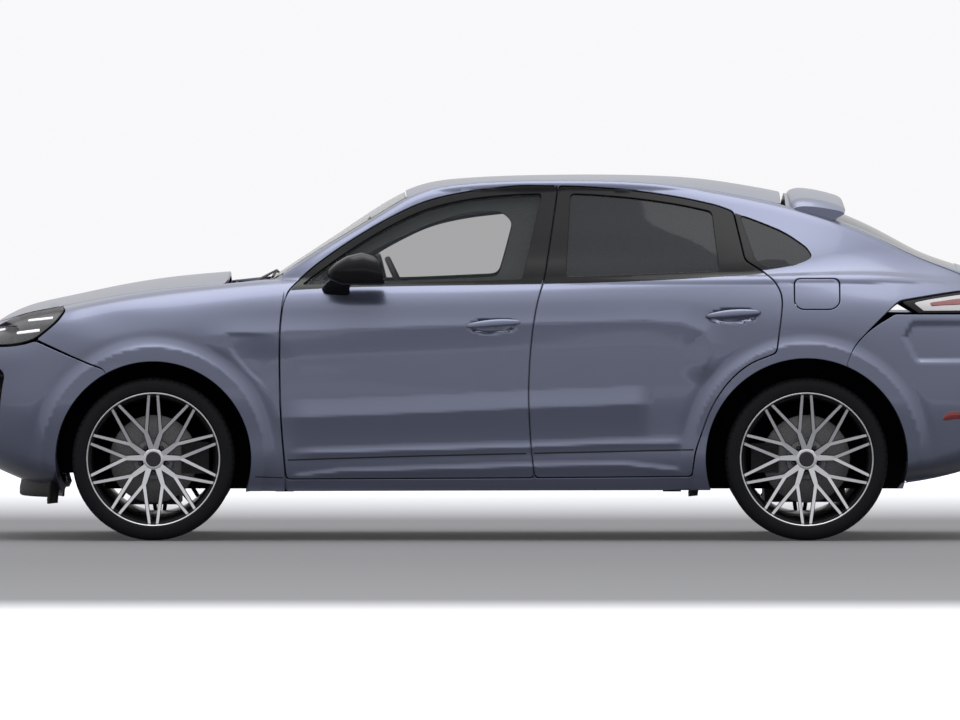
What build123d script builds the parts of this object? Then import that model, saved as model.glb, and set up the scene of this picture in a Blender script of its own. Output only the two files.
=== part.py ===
# Coupe sport utility vehicle as separate panels, glass, cabin and running gear.
# Millimetres. +X points to the rear, +Y to the car's right, +Z up, floor at Z = 0.
import os
from math import asin, cos, sin
from build123d import *

os.makedirs("parts", exist_ok=True)

# Driving sizes
WHEELBASE = 2895.0
X_FRONT = -1580.0
X_REAR = X_FRONT + WHEELBASE
WHEEL_Z = 361.0
TYRE_R = 361.0
TYRE_W = 280.0
RIM_R = 298.0
TRACK_Y = 832.0
ARCH_F = 434.0
ARCH_R = 448.0
SIDE_T = 70.0
TOP_T = 28.0
CABIN_T = 46.0
GAP = 9.0
SEAT = 0.4
JAMB = 90.0
FRAME_T = 140.0
BELT_Z = 1150.0
LEAN = 0.637
SLANT = 0.4
KINGPIN_Y = 752.0
HOOD_AXIS = (-1240.0, 1130.0)
GATE_AXIS = (1218.0, 1533.0)
DOOR_AXIS = ((-957.0, 943.0), (148.0, 943.0))
HINGE_Z = (520.0, 830.0)

# Lower body stations
# x, bottom z, bottom y, sill z, sill y, waist z, waist y, shoulder z, shoulder y, belt z, belt y, crown z
BODY = [
    (-2465, 450, 430, 500, 500, 600, 540, 740, 520, 800, 430, 815),
    (-2400, 330, 640, 400, 700, 600, 730, 820, 700, 890, 560, 915),
    (-2281, 290, 780, 380, 840, 600, 865, 860, 835, 955, 690, 985),
    (-2100, 250, 850, 350, 915, 590, 935, 890, 905, 1035, 740, 1068),
    (-1850, 225, 880, 320, 945, 580, 965, 905, 945, 1085, 775, 1128),
    (-1580, 219, 900, 300, 955, 575, 975, 915, 965, 1110, 800, 1160),
    (-1140, 215, 905, 290, 945, 570, 965, 925, 958, 1140, 835, 1192),
    (-600, 215, 905, 285, 938, 575, 955, 935, 948, 1135, 868, 1188),
    (90, 217, 905, 285, 940, 580, 957, 945, 948, 1155, 880, 1190),
    (850, 220, 905, 290, 948, 585, 965, 960, 958, 1185, 875, 1205),
    (1315, 226, 900, 300, 962, 590, 984, 980, 975, 1190, 845, 1210),
    (1750, 262, 875, 340, 940, 600, 965, 990, 935, 1175, 760, 1205),
    (2050, 335, 830, 400, 885, 610, 908, 985, 862, 1130, 690, 1168),
    (2250, 385, 750, 440, 810, 620, 835, 950, 770, 1065, 610, 1098),
    (2400, 430, 640, 470, 700, 630, 730, 850, 660, 930, 520, 955),
    (2465, 480, 500, 520, 540, 630, 580, 740, 540, 790, 450, 805),
]

# Upper body stations
# x, foot y, belt z, belt y, rail z, rail y, crown z
CABIN = [
    (-1095, 770, 1090, 750, 1118, 722, 1140),
    (-974, 835, 1112, 822, 1205, 770, 1224),
    (-750, 868, 1125, 855, 1345, 728, 1372),
    (-567, 876, 1132, 864, 1442, 690, 1493),
    (-421, 880, 1136, 868, 1528, 650, 1565),
    (-202, 884, 1142, 874, 1580, 620, 1603),
    (250, 888, 1152, 880, 1596, 606, 1618),
    (664, 886, 1166, 878, 1578, 602, 1613),
    (870, 880, 1180, 870, 1546, 602, 1598),
    (1076, 868, 1194, 855, 1509, 604, 1567),
    (1230, 850, 1210, 834, 1470, 612, 1536),
    (1383, 825, 1225, 805, 1430, 625, 1487),
    (1636, 770, 1225, 750, 1335, 640, 1381),
    (1851, 715, 1190, 705, 1240, 640, 1267),
    (2016, 680, 1140, 672, 1170, 620, 1194),
    (2110, 640, 1110, 620, 1128, 590, 1145),
]

# Side view outlines, x and z
FRONT_DOOR = [(-979, 1106), (-1001, 1054), (-1013, 963), (-1017, 826), (-1013, 597), (-1005, 461),
              (-988, 276), (104, 282), (88, 414), (76, 645), (84, 826), (102, 980), (120, 1072),
              (150, 1166), (198, 1482), (210, 1577), (46, 1579), (-20, 1572), (-202, 1553),
              (-383, 1512), (-567, 1421), (-750, 1306), (-889, 1203)]
REAR_DOOR = [(114, 282), (98, 414), (86, 645), (94, 826), (112, 980), (130, 1072), (160, 1166),
             (208, 1482), (220, 1577), (355, 1572), (561, 1556), (767, 1525), (922, 1489),
             (990, 1462), (1040, 1240), (1126, 1186), (1170, 1150), (1199, 1098), (1204, 1052),
             (1195, 963), (1177, 835), (1054, 788), (962, 707), (888, 595), (839, 459), (817, 394),
             (803, 288)]
FRONT_GLASS = [(-925, 1133), (-889, 1160), (-750, 1262), (-567, 1378), (-383, 1468), (-202, 1512),
               (-20, 1532), (143, 1538), (54, 1160)]
REAR_GLASS = [(270, 1537), (355, 1534), (561, 1518), (767, 1487), (897, 1458), (928, 1196),
              (248, 1170)]
QUARTER_GLASS = [(1022, 1442), (1076, 1424), (1228, 1362), (1320, 1296), (1343, 1256), (1280, 1226),
                 (1138, 1214), (1090, 1246)]
HEADLAMP = [(-1973, 1025), (-2004, 976), (-2049, 936), (-2103, 895), (-2148, 878), (-2206, 866),
            (-2300, 862), (-2420, 850), (-2440, 905), (-2370, 945), (-2281, 966), (-2150, 1010),
            (-2017, 1040)]
TAIL_LAMP = [(1730, 1061), (2016, 1106), (2330, 1092), (2330, 1007), (1803, 1007)]
FRONT_BUMPER = [(-2480, 200), (-2480, 1010), (-2352, 1010), (-2352, 856), (-2206, 862), (-2148, 874),
                (-2106, 888), (-1912, 803), (-1804, 761), (-1804, 200)]
REAR_BUMPER = [(1522, 200), (1522, 860), (1595, 936), (1707, 1003), (2480, 1003), (2480, 200)]
FUEL_FLAP = [(1263, 1160), (1460, 1160), (1460, 1050), (1430, 1027), (1290, 1027), (1263, 1050)]
FLAP_PLANE = Plane(origin=(1292, -918.5, 1089.4), x_dir=(1, 0, 0), z_dir=(0, 0.538, 0.843))

# Plan outlines of half the lids, x and y
HOOD = [(-2345, 0), (-2345, 500), (-2250, 610), (-2000, 690), (-1600, 738), (-1268, 772), (-1252, 600),
        (-1248, 0)]
SCREEN = [(-1074, 0), (-1072, 400), (-1030, 620), (-960, 706), (-750, 672), (-567, 634), (-468, 606),
          (-476, 0)]
ROOF = [(-468, 0), (-460, 598), (-200, 570), (300, 556), (900, 552), (1206, 556), (1206, 0)]
GATE = [(1226, 0), (1226, 562), (1500, 590), (1851, 636), (2060, 668), (2250, 640), (2480, 600),
        (2480, 0)]
BACKLIGHT = [(1330, 0), (1330, 520), (1600, 548), (1820, 585), (1960, 590), (1990, 560), (1990, 0)]


def save(part, name):
    part.label = name
    export_step(part, f"parts/{name}.step")


def span(rows, x0, x1):
    low = max([row[0] for row in rows if row[0] <= x0], default=rows[0][0])
    high = min([row[0] for row in rows if row[0] >= x1], default=rows[-1][0])
    return [row for row in rows if low <= row[0] <= high]


def crown_mid(y, z_edge, z_top):
    radius = (y * y + (z_top - z_edge) ** 2) / (2 * (z_top - z_edge))
    angle = asin(y / radius) / 2
    return radius * sin(angle), z_top - radius + radius * cos(angle)


def close_section(points, z_top, z_foot, left):
    y, z = points[-1]
    if left:
        ym, zm = crown_mid(y, z, z_top)
        ThreePointArc((-y, z), (-ym, zm), (0, z_top))
        Line((0, z_top), (0, z_foot))
        Line((0, z_foot), (-points[0][0], z_foot))
    else:
        ThreePointArc((-y, z), (0, z_top), (y, z))
        Line((-points[0][0], z_foot), (points[0][0], z_foot))


def lower(x0, x1, inset=0.0, drop=0.0, left=True):
    rows = span(BODY if inset < 20 else BODY[1:-1], x0, x1)
    with BuildPart() as made:
        for x, z0, y0, z1, y1, z2, y2, z3, y3, z4, y4, z5 in rows:
            pts = [(y0 - inset, z0 + drop), (y1 - inset, z1 + drop / 4), (y2 - inset, z2), (y3 - inset, z3),
                   (y4 - inset, z4 - drop)]
            with BuildSketch(Plane.YZ.offset(x)):
                with BuildLine():
                    for s in (-1, 1)[:1 if left else 2]:
                        p = [(s * a, b) for a, b in pts]
                        Line(p[0], p[1])
                        for i, out, up in ((1, 5, 0), (2, 5, 0), (3, 18, 18)):
                            mid = ((p[i][0] + p[i + 1][0]) / 2 + s * out, (p[i][1] + p[i + 1][1]) / 2 + up)
                            ThreePointArc(p[i], mid, p[i + 1])
                    close_section(pts, z5 - drop, pts[0][1], left)
                make_face()
        loft(ruled=True)
    return made.part


def upper(x0, x1, inset=0.0, drop=0.0, left=True):
    rows = span(CABIN if inset < 20 else CABIN[1:-1], x0, x1)
    foot = 1000 if inset < 20 else 940
    with BuildPart() as made:
        for x, y0, z1, y1, z2, y2, z3 in rows:
            pts = [(y0 - inset, foot), (y1 - inset, z1), (y2 - inset, z2 - drop)]
            with BuildSketch(Plane.YZ.offset(x)):
                with BuildLine():
                    for s in (-1, 1)[:1 if left else 2]:
                        p = [(s * a, b) for a, b in pts]
                        Line(p[0], p[1])
                        mid = ((p[1][0] + p[2][0]) / 2 + s * 8, (p[1][1] + p[2][1]) / 2 + 5)
                        ThreePointArc(p[1], mid, p[2])
                    close_section(pts, z3 - drop, foot, left)
                make_face()
        loft(ruled=True)
    return made.part


def side_prism(points, y_near, y_far, grow=0.0):
    with BuildPart() as made:
        with BuildSketch(Plane.XZ.offset(-y_near)):
            with BuildLine():
                Polyline(*points, close=True)
            make_face()
            if grow:
                offset(amount=grow, kind=Kind.INTERSECTION)
        extrude(amount=y_near - y_far)
    return made.part


def slant_prism(points, grow=0.0):
    with BuildPart() as made:
        for y in (-1000, -400):
            shift = -SLANT * (y + 880)
            moved = [(x + shift + SLANT * LEAN * max(0, z - BELT_Z), z) for x, z in points]
            with BuildSketch(Plane.XZ.offset(-y)):
                with BuildLine():
                    Polyline(*moved, close=True)
                make_face()
                if grow:
                    offset(amount=grow, kind=Kind.INTERSECTION)
        loft(ruled=True)
    return made.part


def plan_prism(points, z_low, z_high, grow=0.0, mirrored=True):
    whole = points + [(x, -y) for x, y in reversed(points) if y > 0] if mirrored else points
    with BuildPart() as made:
        with BuildSketch(Plane.XY.offset(z_low)):
            with BuildLine():
                Polyline(*whole, close=True)
            make_face()
            if grow:
                offset(amount=grow, kind=Kind.INTERSECTION)
        extrude(amount=z_high - z_low)
    return made.part


def block(x0, x1, y0, y1, z0, z1):
    with BuildPart() as made:
        with Locations(((x0 + x1) / 2, (y0 + y1) / 2, (z0 + z1) / 2)):
            Box(x1 - x0, y1 - y0, z1 - z0)
    return made.part


def drum(x, z, r, y0, y1):
    with BuildPart() as made:
        with Locations(Location((x, (y0 + y1) / 2, z), (90, 0, 0))):
            Cylinder(r, y1 - y0)
    return made.part


def post(x, y, r, z0, z1):
    with BuildPart() as made:
        with Locations((x, y, (z0 + z1) / 2)):
            Cylinder(r, z1 - z0)
    return made.part


def turned(points, x, y, z):
    # Profile of radius and outboard distance, turned about the left wheel's axle
    with BuildPart() as made:
        with BuildSketch(Plane.XY):
            with BuildLine():
                Polyline(*points, close=True)
            make_face()
        revolve(axis=Axis.Y)
    return made.part.moved(Location((x, y, z)))


def both(part):
    with BuildPart() as made:
        add(part)
        mirror(about=Plane.XZ)
    return made.part


def other_side(part):
    with BuildPart() as made:
        add(part)
        mirror(about=Plane.XZ, mode=Mode.REPLACE)
    return made.part


def keep(base, tool):
    with BuildPart() as made:
        add(base)
        add(tool, mode=Mode.INTERSECT)
    return made.part


def cut(base, *tools):
    with BuildPart() as made:
        add(base)
        add(list(tools), mode=Mode.SUBTRACT)
    return made.part


def join(*parts):
    with BuildPart() as made:
        add(list(parts))
    return made.part


# Cutters shared by neighbours
open_arches = join(drum(X_FRONT, WHEEL_Z, ARCH_F, -1100, -480), drum(X_REAR, WHEEL_Z, ARCH_R, -1100, -480),
                   block(X_FRONT - ARCH_F, X_FRONT + ARCH_F, -1100, -480, 100, WHEEL_Z),
                   block(X_REAR - ARCH_R, X_REAR + ARCH_R, -1100, -480, 100, WHEEL_Z))
hood_gap = plan_prism(HOOD, 870, 1300, GAP)
gate_gap = plan_prism(GATE, 862, 1700, GAP)
roof_cut = plan_prism(ROOF, 1350, 1700)
roof_gap = plan_prism(ROOF, 1350, 1700, GAP)
screen_cut = plan_prism(SCREEN, 1060, 1700)
screen_gap = plan_prism(SCREEN, 1060, 1700, GAP)
low_half = block(-2500, 2500, -1100, 0, 100, 1120)
high_half = block(-2500, 2500, -1100, 0, 1120, 1700)

# Doors with pockets for the hinge arms
skin_mid = cut(join(lower(-1140, 1315), upper(-1095, 1315)),
               join(lower(-1140, 1315, SIDE_T, TOP_T), upper(-974, 1315, CABIN_T, TOP_T)))
pane_mid = cut(upper(-974, 1383, 5, 4), upper(-974, 1383, 11, 10))


def door(outline, glass, axis, front_x):
    low = keep(keep(skin_mid, low_half), side_prism(outline, -400, -1100))
    high = keep(keep(skin_mid, high_half), slant_prism(outline))
    leaf = join(low, high)
    ax, ay = axis
    edge = [(front_x - 20, -928), (front_x, -928), (front_x + 60, -868), (front_x + 60, -840),
            (front_x - 20, -840)]
    cuts = [side_prism(glass, -400, -1100), plan_prism(edge, 270, 1112, mirrored=False), roof_gap,
            screen_gap, block(-1200, -862, -806, -380, 1060, 1156), block(-1200, -862, -762, -380, 1150, 1260),
            block(1030, 1215, -816, -380, 1126, 1160), block(-1200, -952, -834, -380, 1040, 1156)]
    for z in HINGE_Z:
        cuts.append(block(ax - 100, ax + 24, -ay - 13, -780, z - 40, z + 40))
        cuts.append(post(ax, -ay, 5.5, z - 62, z + 62))
    return cut(leaf, *cuts)


def handle(x0, x1, z, y):
    with BuildPart() as made:
        with Locations(((x0 + x1) / 2, y, z)):
            Box(x1 - x0, 60, 44)
        fillet(made.edges().filter_by(Axis.Y), 18)
    return cut(made.part, block(x0 + 40, x1 - 40, y - 12, y + 24, z - 30, z + 30))


front_door = join(door(FRONT_DOOR, FRONT_GLASS, DOOR_AXIS[0], -1017), handle(-190, 45, 962, -962))
rear_door = cut(join(door(REAR_DOOR, REAR_GLASS, DOOR_AXIS[1], 86), handle(872, 1108, 1000, -952)),
                open_arches)
PANELS = [
    (front_door, "front_door"),
    (rear_door, "rear_door"),
    (keep(pane_mid, side_prism(FRONT_GLASS, -400, -1100, -SEAT)), "front_door_glass"),
    (keep(pane_mid, side_prism(REAR_GLASS, -400, -1100, -SEAT)), "rear_door_glass"),
]
for part, name in PANELS:
    save(part, f"{name}_left")
    save(other_side(part), f"{name}_right")
save(both(keep(pane_mid, side_prism(QUARTER_GLASS, -400, -1100, -SEAT))), "quarter_windows")

# Body sides with jambs, pillars, sills and quarters
frame_out = join(lower(-1140, 2250), upper(-1095, 2110))
frame_in = join(lower(-1140, 2250, FRAME_T, TOP_T), upper(-974, 2016, 84, 44))
jamb_in = join(lower(-1140, 1315, JAMB, 0), upper(-974, 1315, CABIN_T + 12, TOP_T + 12))
sides = cut(frame_out, frame_in)
near = block(-2500, 2500, -1100, -380, 100, 1700)
for outline in (FRONT_DOOR, REAR_DOOR):
    swing = join(keep(side_prism(outline, -380, -1100, GAP), block(-2500, 2500, -1100, 0, 100, 1128)),
                 keep(slant_prism(outline, GAP), block(-2500, 2500, -1100, 0, 1112, 1700)))
    sides = cut(sides, cut(swing, jamb_in), side_prism(outline, -300, -1100, -82))
sides = keep(sides, block(-1030, 2300, -1100, 0, 100, 1700))
sides = cut(sides, block(-1100, 2400, -760, 10, 100, 940), block(-1100, 1200, -520, 10, 100, 1300),
            plan_prism(SCREEN, 1060, 1700), roof_cut, hood_gap, gate_gap, open_arches,
            side_prism(REAR_BUMPER, 10, -1100, SEAT), side_prism(TAIL_LAMP, 10, -1100, SEAT),
            block(1195, 1228, -175, 10, 1380, 1700),
            side_prism(QUARTER_GLASS, -300, -1100),
            keep(side_prism(FUEL_FLAP, -700, -1100, 8), block(1200, 1500, -1100, -835, 900, 1300)))
with BuildPart(FLAP_PLANE) as flap_pin:
    Cylinder(3, 38)
    with Locations((0, 57, 16), (0, 57, -16)):
        Box(8, 116, 6)
pins = [flap_pin.part]
for ax, ay in DOOR_AXIS:
    for z in HINGE_Z:
        pins += [block(ax - 9, ax + 9, -ay, -866, z - 22, z + 22), post(ax, -ay, 9, z - 22, z + 22),
                 post(ax, -ay, 5, z - 60, z + 60)]
save(both(join(sides, *pins)), "body_sides")

# Charge flap and fuel flap on a short leaning pin
flap = keep(cut(lower(1140, 1750), lower(1140, 1750, 10)), side_prism(FUEL_FLAP, -800, -1100))
with BuildPart(FLAP_PLANE) as lug:
    Cylinder(7, 24)
    with Locations((0, -5, 0)):
        Box(12, 10, 24)
    Cylinder(3.6, 40, mode=Mode.SUBTRACT)
flap = join(flap, lug.part)
save(flap, "charge_flap")
save(other_side(flap), "fuel_flap")

# Roof, windscreen and lids
roof_skin = cut(upper(-567, 1230, left=False), upper(-567, 1230, CABIN_T, TOP_T, left=False))
roof = keep(roof_skin, plan_prism(ROOF, 1350, 1700, -SEAT))
gx, gz = GATE_AXIS
roof = join(cut(roof, block(1195, 1210, -160, 160, 1400, 1600)), block(1180, gx, -150, -135, gz - 14, gz + 2),
            block(1180, gx, 135, 150, gz - 14, gz + 2), drum(gx, gz, 5, -150, -60), drum(gx, gz, 5, 60, 150))
save(roof, "roof_panel")
screen_skin = cut(upper(-1095, -421, 5, 4, left=False), upper(-1095, -421, 11, 10, left=False))
save(keep(screen_skin, plan_prism(SCREEN, 1060, 1700, -SEAT)), "windscreen")

hood_skin = cut(lower(-2400, -1140, left=False), lower(-2400, -1140, SIDE_T, TOP_T, left=False))
hx, hz = HOOD_AXIS
hood = keep(hood_skin, plan_prism(HOOD, 880, 1300))
for y in (-560, 560):
    lug = cut(block(hx - 40, hx - 2 + 12, y - 8, y + 8, hz - 12, hz + 26), drum(hx, hz, 6.5, y - 9, y + 9))
    hood = join(hood, keep(lug, lower(-1850, -600, 5, 4, left=False)))
save(hood, "hood")

tail_skin = cut(join(upper(1076, 2110, left=False), lower(1076, 2465, left=False)),
                join(upper(1076, 2016, CABIN_T, TOP_T, left=False), lower(1076, 2400, SIDE_T, TOP_T, left=False)))
gate = keep(tail_skin, plan_prism(GATE, 870, 1700))
bar = block(2150, 2480, -560, 560, 1010, 1070)
bar_part = keep(keep(gate, bar), block(2150, 2480, -560 + SEAT, 560 - SEAT, 1010 + SEAT, 1070 - SEAT))
gate = cut(gate, plan_prism(BACKLIGHT, 1100, 1700), bar)
for y in (-98, 98):
    eye = cut(join(drum(gx, gz, 11, y - 30, y + 30), block(gx, 1246, y - 30, y + 30, gz - 18, gz - 4)),
              drum(gx, gz, 5.6, y - 31, y + 31))
    gate = join(gate, eye)
save(gate, "tailgate")
save(bar_part, "tail_light_bar")
pane_rear = cut(upper(1230, 2016, 5, 4, left=False), upper(1230, 2016, 11, 10, left=False))
save(keep(pane_rear, plan_prism(BACKLIGHT, 1100, 1700, -SEAT)), "rear_glass")
with BuildPart() as spoiler:
    for y, fall, shift in ((-590, 74, 10), (-330, 18, 4), (0, 0, 0), (330, 18, 4), (590, 74, 10)):
        with BuildSketch(Plane.XZ.offset(-y)):
            with BuildLine():
                Polyline((1262 + shift, 1480 - fall), (1290 + shift, 1562 - fall), (1380, 1549 - fall),
                         (1484 - shift, 1512 - fall), (1480 - shift, 1502 - fall), (1400, 1470 - fall), close=True)
            make_face()
    loft(ruled=True)
save(cut(spoiler.part, upper(1076, 1636, -SEAT, -SEAT, left=False)), "roof_spoiler")

# Front end
front_low = cut(lower(-2465, -1000), lower(-2400, -1000, SIDE_T, TOP_T))
fender = keep(front_low, block(-2360, -1030 - SEAT, -1100, -400, 190, 1300))
door_gap = side_prism(FRONT_DOOR, -400, -1100, GAP)
fender = cut(fender, side_prism(FRONT_BUMPER, 0, -1100, SEAT), side_prism(HEADLAMP, -470, -1100, SEAT),
             hood_gap, open_arches, door_gap, block(-2360, -1000, -760, 0, 190, 700),
             block(-1262, -1000, -708, 0, 900, 1300))
save(both(fender), "front_fenders")
lamp_zone = cut(keep(front_low, side_prism(HEADLAMP, -470, -1100)), hood_gap)
save(both(lamp_zone), "headlamps")
nose = cut(keep(front_low, side_prism(FRONT_BUMPER, 0, -1100)), open_arches, hood_gap,
           side_prism(HEADLAMP, -470 + SEAT, -1100, SEAT))
nose = both(nose)
grille_box = block(-2480, -2385, -480, 480, 400, 770)
grille = keep(nose, block(-2480, -2385, -480 + SEAT, 480 - SEAT, 400 + SEAT, 770 - SEAT))
slots = [block(-2480, -2425, -440, 440, z, z + 34) for z in (430, 490, 550, 610, 670, 720)]
save(cut(nose, grille_box), "front_bumper")
save(cut(grille, *slots), "grille")

# Rear end
rear_low = cut(lower(1315, 2465), lower(1315, 2400, SIDE_T, TOP_T))
tail_outer = keep(rear_low, side_prism(REAR_BUMPER, 0, -1100))
save(both(cut(tail_outer, open_arches, gate_gap, block(1300, 2420, -480, 10, 190, 330))), "rear_bumper")
save(both(cut(keep(rear_low, side_prism(TAIL_LAMP, -500, -1100)), gate_gap)), "tail_lamps")

# Floor, bulkheads, wheel wells and engine bay
floor_parts = [block(-1190, 866, -759.6, 759.6, 222, 250), block(866, 1521, -455, 455, 222, 250),
               block(-1803, -1190, -455, 455, 222, 236), block(-1175, -1135, -759.6, 759.6, 250, 1040),
               block(1010, 2280, -455, 455, 560, 580), block(1010, 1030, -455, 455, 250, 560)]
for s in (-1, 1):
    floor_parts += [block(-1910, -1175, *sorted((s * 455, s * 470)), 260, 860),
                    block(-2150, -1900, *sorted((s * 455, s * 470)), 292, 860),
                    block(-1803, -1175, *sorted((s * 455, s * 470)), 222, 262),
                    keep(block(866, 1763, *sorted((s * 455, s * 470)), 222, 819),
                         join(drum(X_REAR, WHEEL_Z, ARCH_R + 10, -480, 480), block(866, 1521, -480, 480, 200, 361)))]
    for x, r, y in ((X_FRONT, ARCH_F, 880), (X_REAR, ARCH_R, 808)):
        y0, y1 = sorted((s * 465, s * y))
        ring = cut(drum(x, WHEEL_Z, r + 10, y0, y1), drum(x, WHEEL_Z, r + 0.5, y0 - 1, y1 + 1),
                   block(x - 600, x + 600, y0 - 1, y1 + 1, -300, WHEEL_Z - 60),
                   block(-2040, -1960, *sorted((s * 811, s * 900)), 290, 590),
                   block(-1160, -1130, *sorted((s * 868, s * 900)), 290, 360))
        floor_parts.append(ring)
for x in (-1000, 720):
    for y in (-700, 700):
        floor_parts.append(block(x - 40, x + 40, y - 30, y + 30, 214, 230))
floor = cut(join(*floor_parts), open_arches, other_side(open_arches))
save(floor, "underbody")
cowl = join(block(-1178, -1086, -700, 700, 1040.4, 1062), block(-1130, -1086, -700, 700, 1062, 1118))
for y in (-545, 545):
    s = 1 if y > 0 else -1
    cowl = join(cowl, block(hx - 7, -1170, y - 7, y + 7, 1041, hz + 8), drum(hx, hz, 6, y, y + s * 24) if s > 0
                else drum(hx, hz, 6, y - 24, y))
save(cowl, "cowl")
save(block(-2050, -1420, -300, 300, 330, 900), "engine_block")

# Axle carriers with arms, fixed rear knuckles and rear calipers
kx, ky = X_FRONT, KINGPIN_Y
carrier = [block(kx - 110, kx + 110, -414.6, 414.6, 150, 221.6), block(kx - 60, kx + 60, -420, 420, 236.4, 329.6),
           block(X_REAR - 180, X_REAR + 180, -379.6, 379.6, 160, 221.6)]
for s in (-1, 1):
    arm = plan_prism([(kx - 110, s * 415), (kx + 110, s * 415), (kx + 26, s * ky), (kx + 12, s * (ky + 24)),
                      (kx - 12, s * (ky + 24)), (kx - 26, s * ky)], 190, 214, mirrored=False)
    top = plan_prism([(kx - 90, s * 470.4), (kx + 90, s * 470.4), (kx + 24, s * ky), (kx + 12, s * (ky + 20)),
                      (kx - 12, s * (ky + 20)), (kx - 24, s * ky)], 504, 522, mirrored=False)
    carrier += [cut(arm, post(kx, s * ky, 13.5, 180, 230)), cut(top, post(kx, s * ky, 13.5, 490, 540))]
    rear = join(block(X_REAR - 45, X_REAR + 45, *sorted((s * 692, s * 772)), 200, 520),
                drum(X_REAR, WHEEL_Z, 62, *sorted((s * 692, s * 772))),
                block(X_REAR - 40, X_REAR + 40, *sorted((s * 380, s * 700)), 190, 214),
                block(X_REAR - 34, X_REAR + 34, *sorted((s * 470.4, s * 700)), 490, 512),
                block(X_REAR - 235, X_REAR - 40, *sorted((s * 740, s * 770)), 330, 400),
                block(X_REAR - 245, X_REAR - 125, *sorted((s * 740, s * 830)), 300, 430))
    rear = cut(rear, drum(X_REAR, WHEEL_Z, 30.6, *sorted((s * 680, s * 790))),
               drum(X_REAR, WHEEL_Z, 212, *sorted((s * 773, s * 821))))
    carrier.append(rear)
save(join(*carrier), "axle_carriers")

# Steered front knuckle with caliper, left then mirrored
knuckle = join(block(kx - 34, kx + 34, -774, -730, 228, 490), drum(kx, WHEEL_Z, 62, -774, -724),
               post(kx, -ky, 13, 186, 230), post(kx, -ky, 13, 488, 520), post(kx, -ky, 22, 222, 240),
               post(kx, -ky, 22, 480, 496),
               block(kx + 30, kx + 235, -770, -740, 330, 400), block(kx + 125, kx + 245, -832, -740, 296, 436))
knuckle = cut(knuckle, drum(kx, WHEEL_Z, 30.6, -840, -700), drum(kx, WHEEL_Z, 212, -821, -775))
save(knuckle, "front_knuckle_left")
save(other_side(knuckle), "front_knuckle_right")

# Wheels
h = TYRE_W / 2
TYRE = [(RIM_R - 12, -h + 14), (RIM_R + 4, -h + 4), (330, -h), (TYRE_R - 14, -h + 10), (TYRE_R - 2, -h + 34),
        (TYRE_R, 0), (TYRE_R - 2, h - 34), (TYRE_R - 14, h - 10), (330, h), (RIM_R + 4, h - 4),
        (RIM_R - 12, h - 14), (RIM_R - 16, h - 24), (RIM_R - 16, -h + 24)]
RIM = [(RIM_R, h - 6), (RIM_R - 2, h - 2), (RIM_R - 12, h - 8), (RIM_R - 20, h - 20), (270, h - 60),
       (262, 0), (270, -h + 30), (RIM_R - 18, -h + 22), (RIM_R - 16.5, -h + 24.4), (RIM_R - 16.5, h - 24.4),
       (RIM_R - 12.5, h - 14)]
ROTOR = [(0, 34), (88, 34), (88, -20), (196, -20), (196, -50), (60, -50), (30, -54), (30, -122), (0, -122)]
HUB = [(0, 74), (34, 74), (44, 66), (66, 60), (84, 34.4), (0, 34.4)]


def wheel(x):
    y = -TRACK_Y
    flip = [(r, -d) for r, d in RIM]
    rim = turned(flip, x, y, WHEEL_Z)
    hub = turned([(r, -d) for r, d in HUB], x, y, WHEEL_Z)
    arms = []
    with BuildPart() as spokes:
        for k in range(5):
            for t in (-4.6, 4.6):
                with Locations(Location((x, y, WHEEL_Z), (0, 36 + 72 * k + t + 18, 0))):
                    with Locations(Location((168, -66, 0), (0, 0, 4))):
                        Box(214, 34, 17)
            with Locations(Location((x, y, WHEEL_Z), (0, 72 * k + 18, 0))):
                with Locations(Location((168, -60, 0), (0, 0, 4))):
                    Box(214, 26, 15)
    ring = turned([(281, -140), (281, 140), (400, 140), (400, -140)], x, y, WHEEL_Z)
    return cut(join(rim, hub, cut(spokes.part, ring)), drum(x, WHEEL_Z, 20, y - 90, y - 66))


for x, side in ((X_FRONT, "front"), (X_REAR, "rear")):
    tyre = turned([(r, -d) for r, d in TYRE], x, -TRACK_Y, WHEEL_Z)
    rotor = turned([(r, -d) for r, d in ROTOR], x, -TRACK_Y, WHEEL_Z)
    rim = wheel(x)
    for flip, name in ((False, "left"), (True, "right")):
        save(other_side(tyre) if flip else tyre, f"tyre_{side}_{name}")
        with BuildPart() as made:
            add(rim)
            add(rotor)
            if flip:
                mirror(about=Plane.XZ, mode=Mode.REPLACE)
        save(made.part, f"rim_{side}_{name}")

# Door mirrors
with BuildPart() as mirror_left:
    with Locations((-676, -1030, 1204)):
        Box(240, 130, 140)
    fillet(mirror_left.edges(), 40)
    with BuildSketch(Plane.XZ.offset(1000)):
        with BuildLine():
            Polyline((-800, 1060), (-730, 1060), (-660, 1150), (-720, 1160), close=True)
        make_face()
    extrude(amount=-140)
mirror_left = cut(mirror_left.part, lower(-1140, 90, -SEAT), upper(-974, 90, -SEAT))
save(mirror_left, "mirror_left")
save(other_side(mirror_left), "mirror_right")

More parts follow.
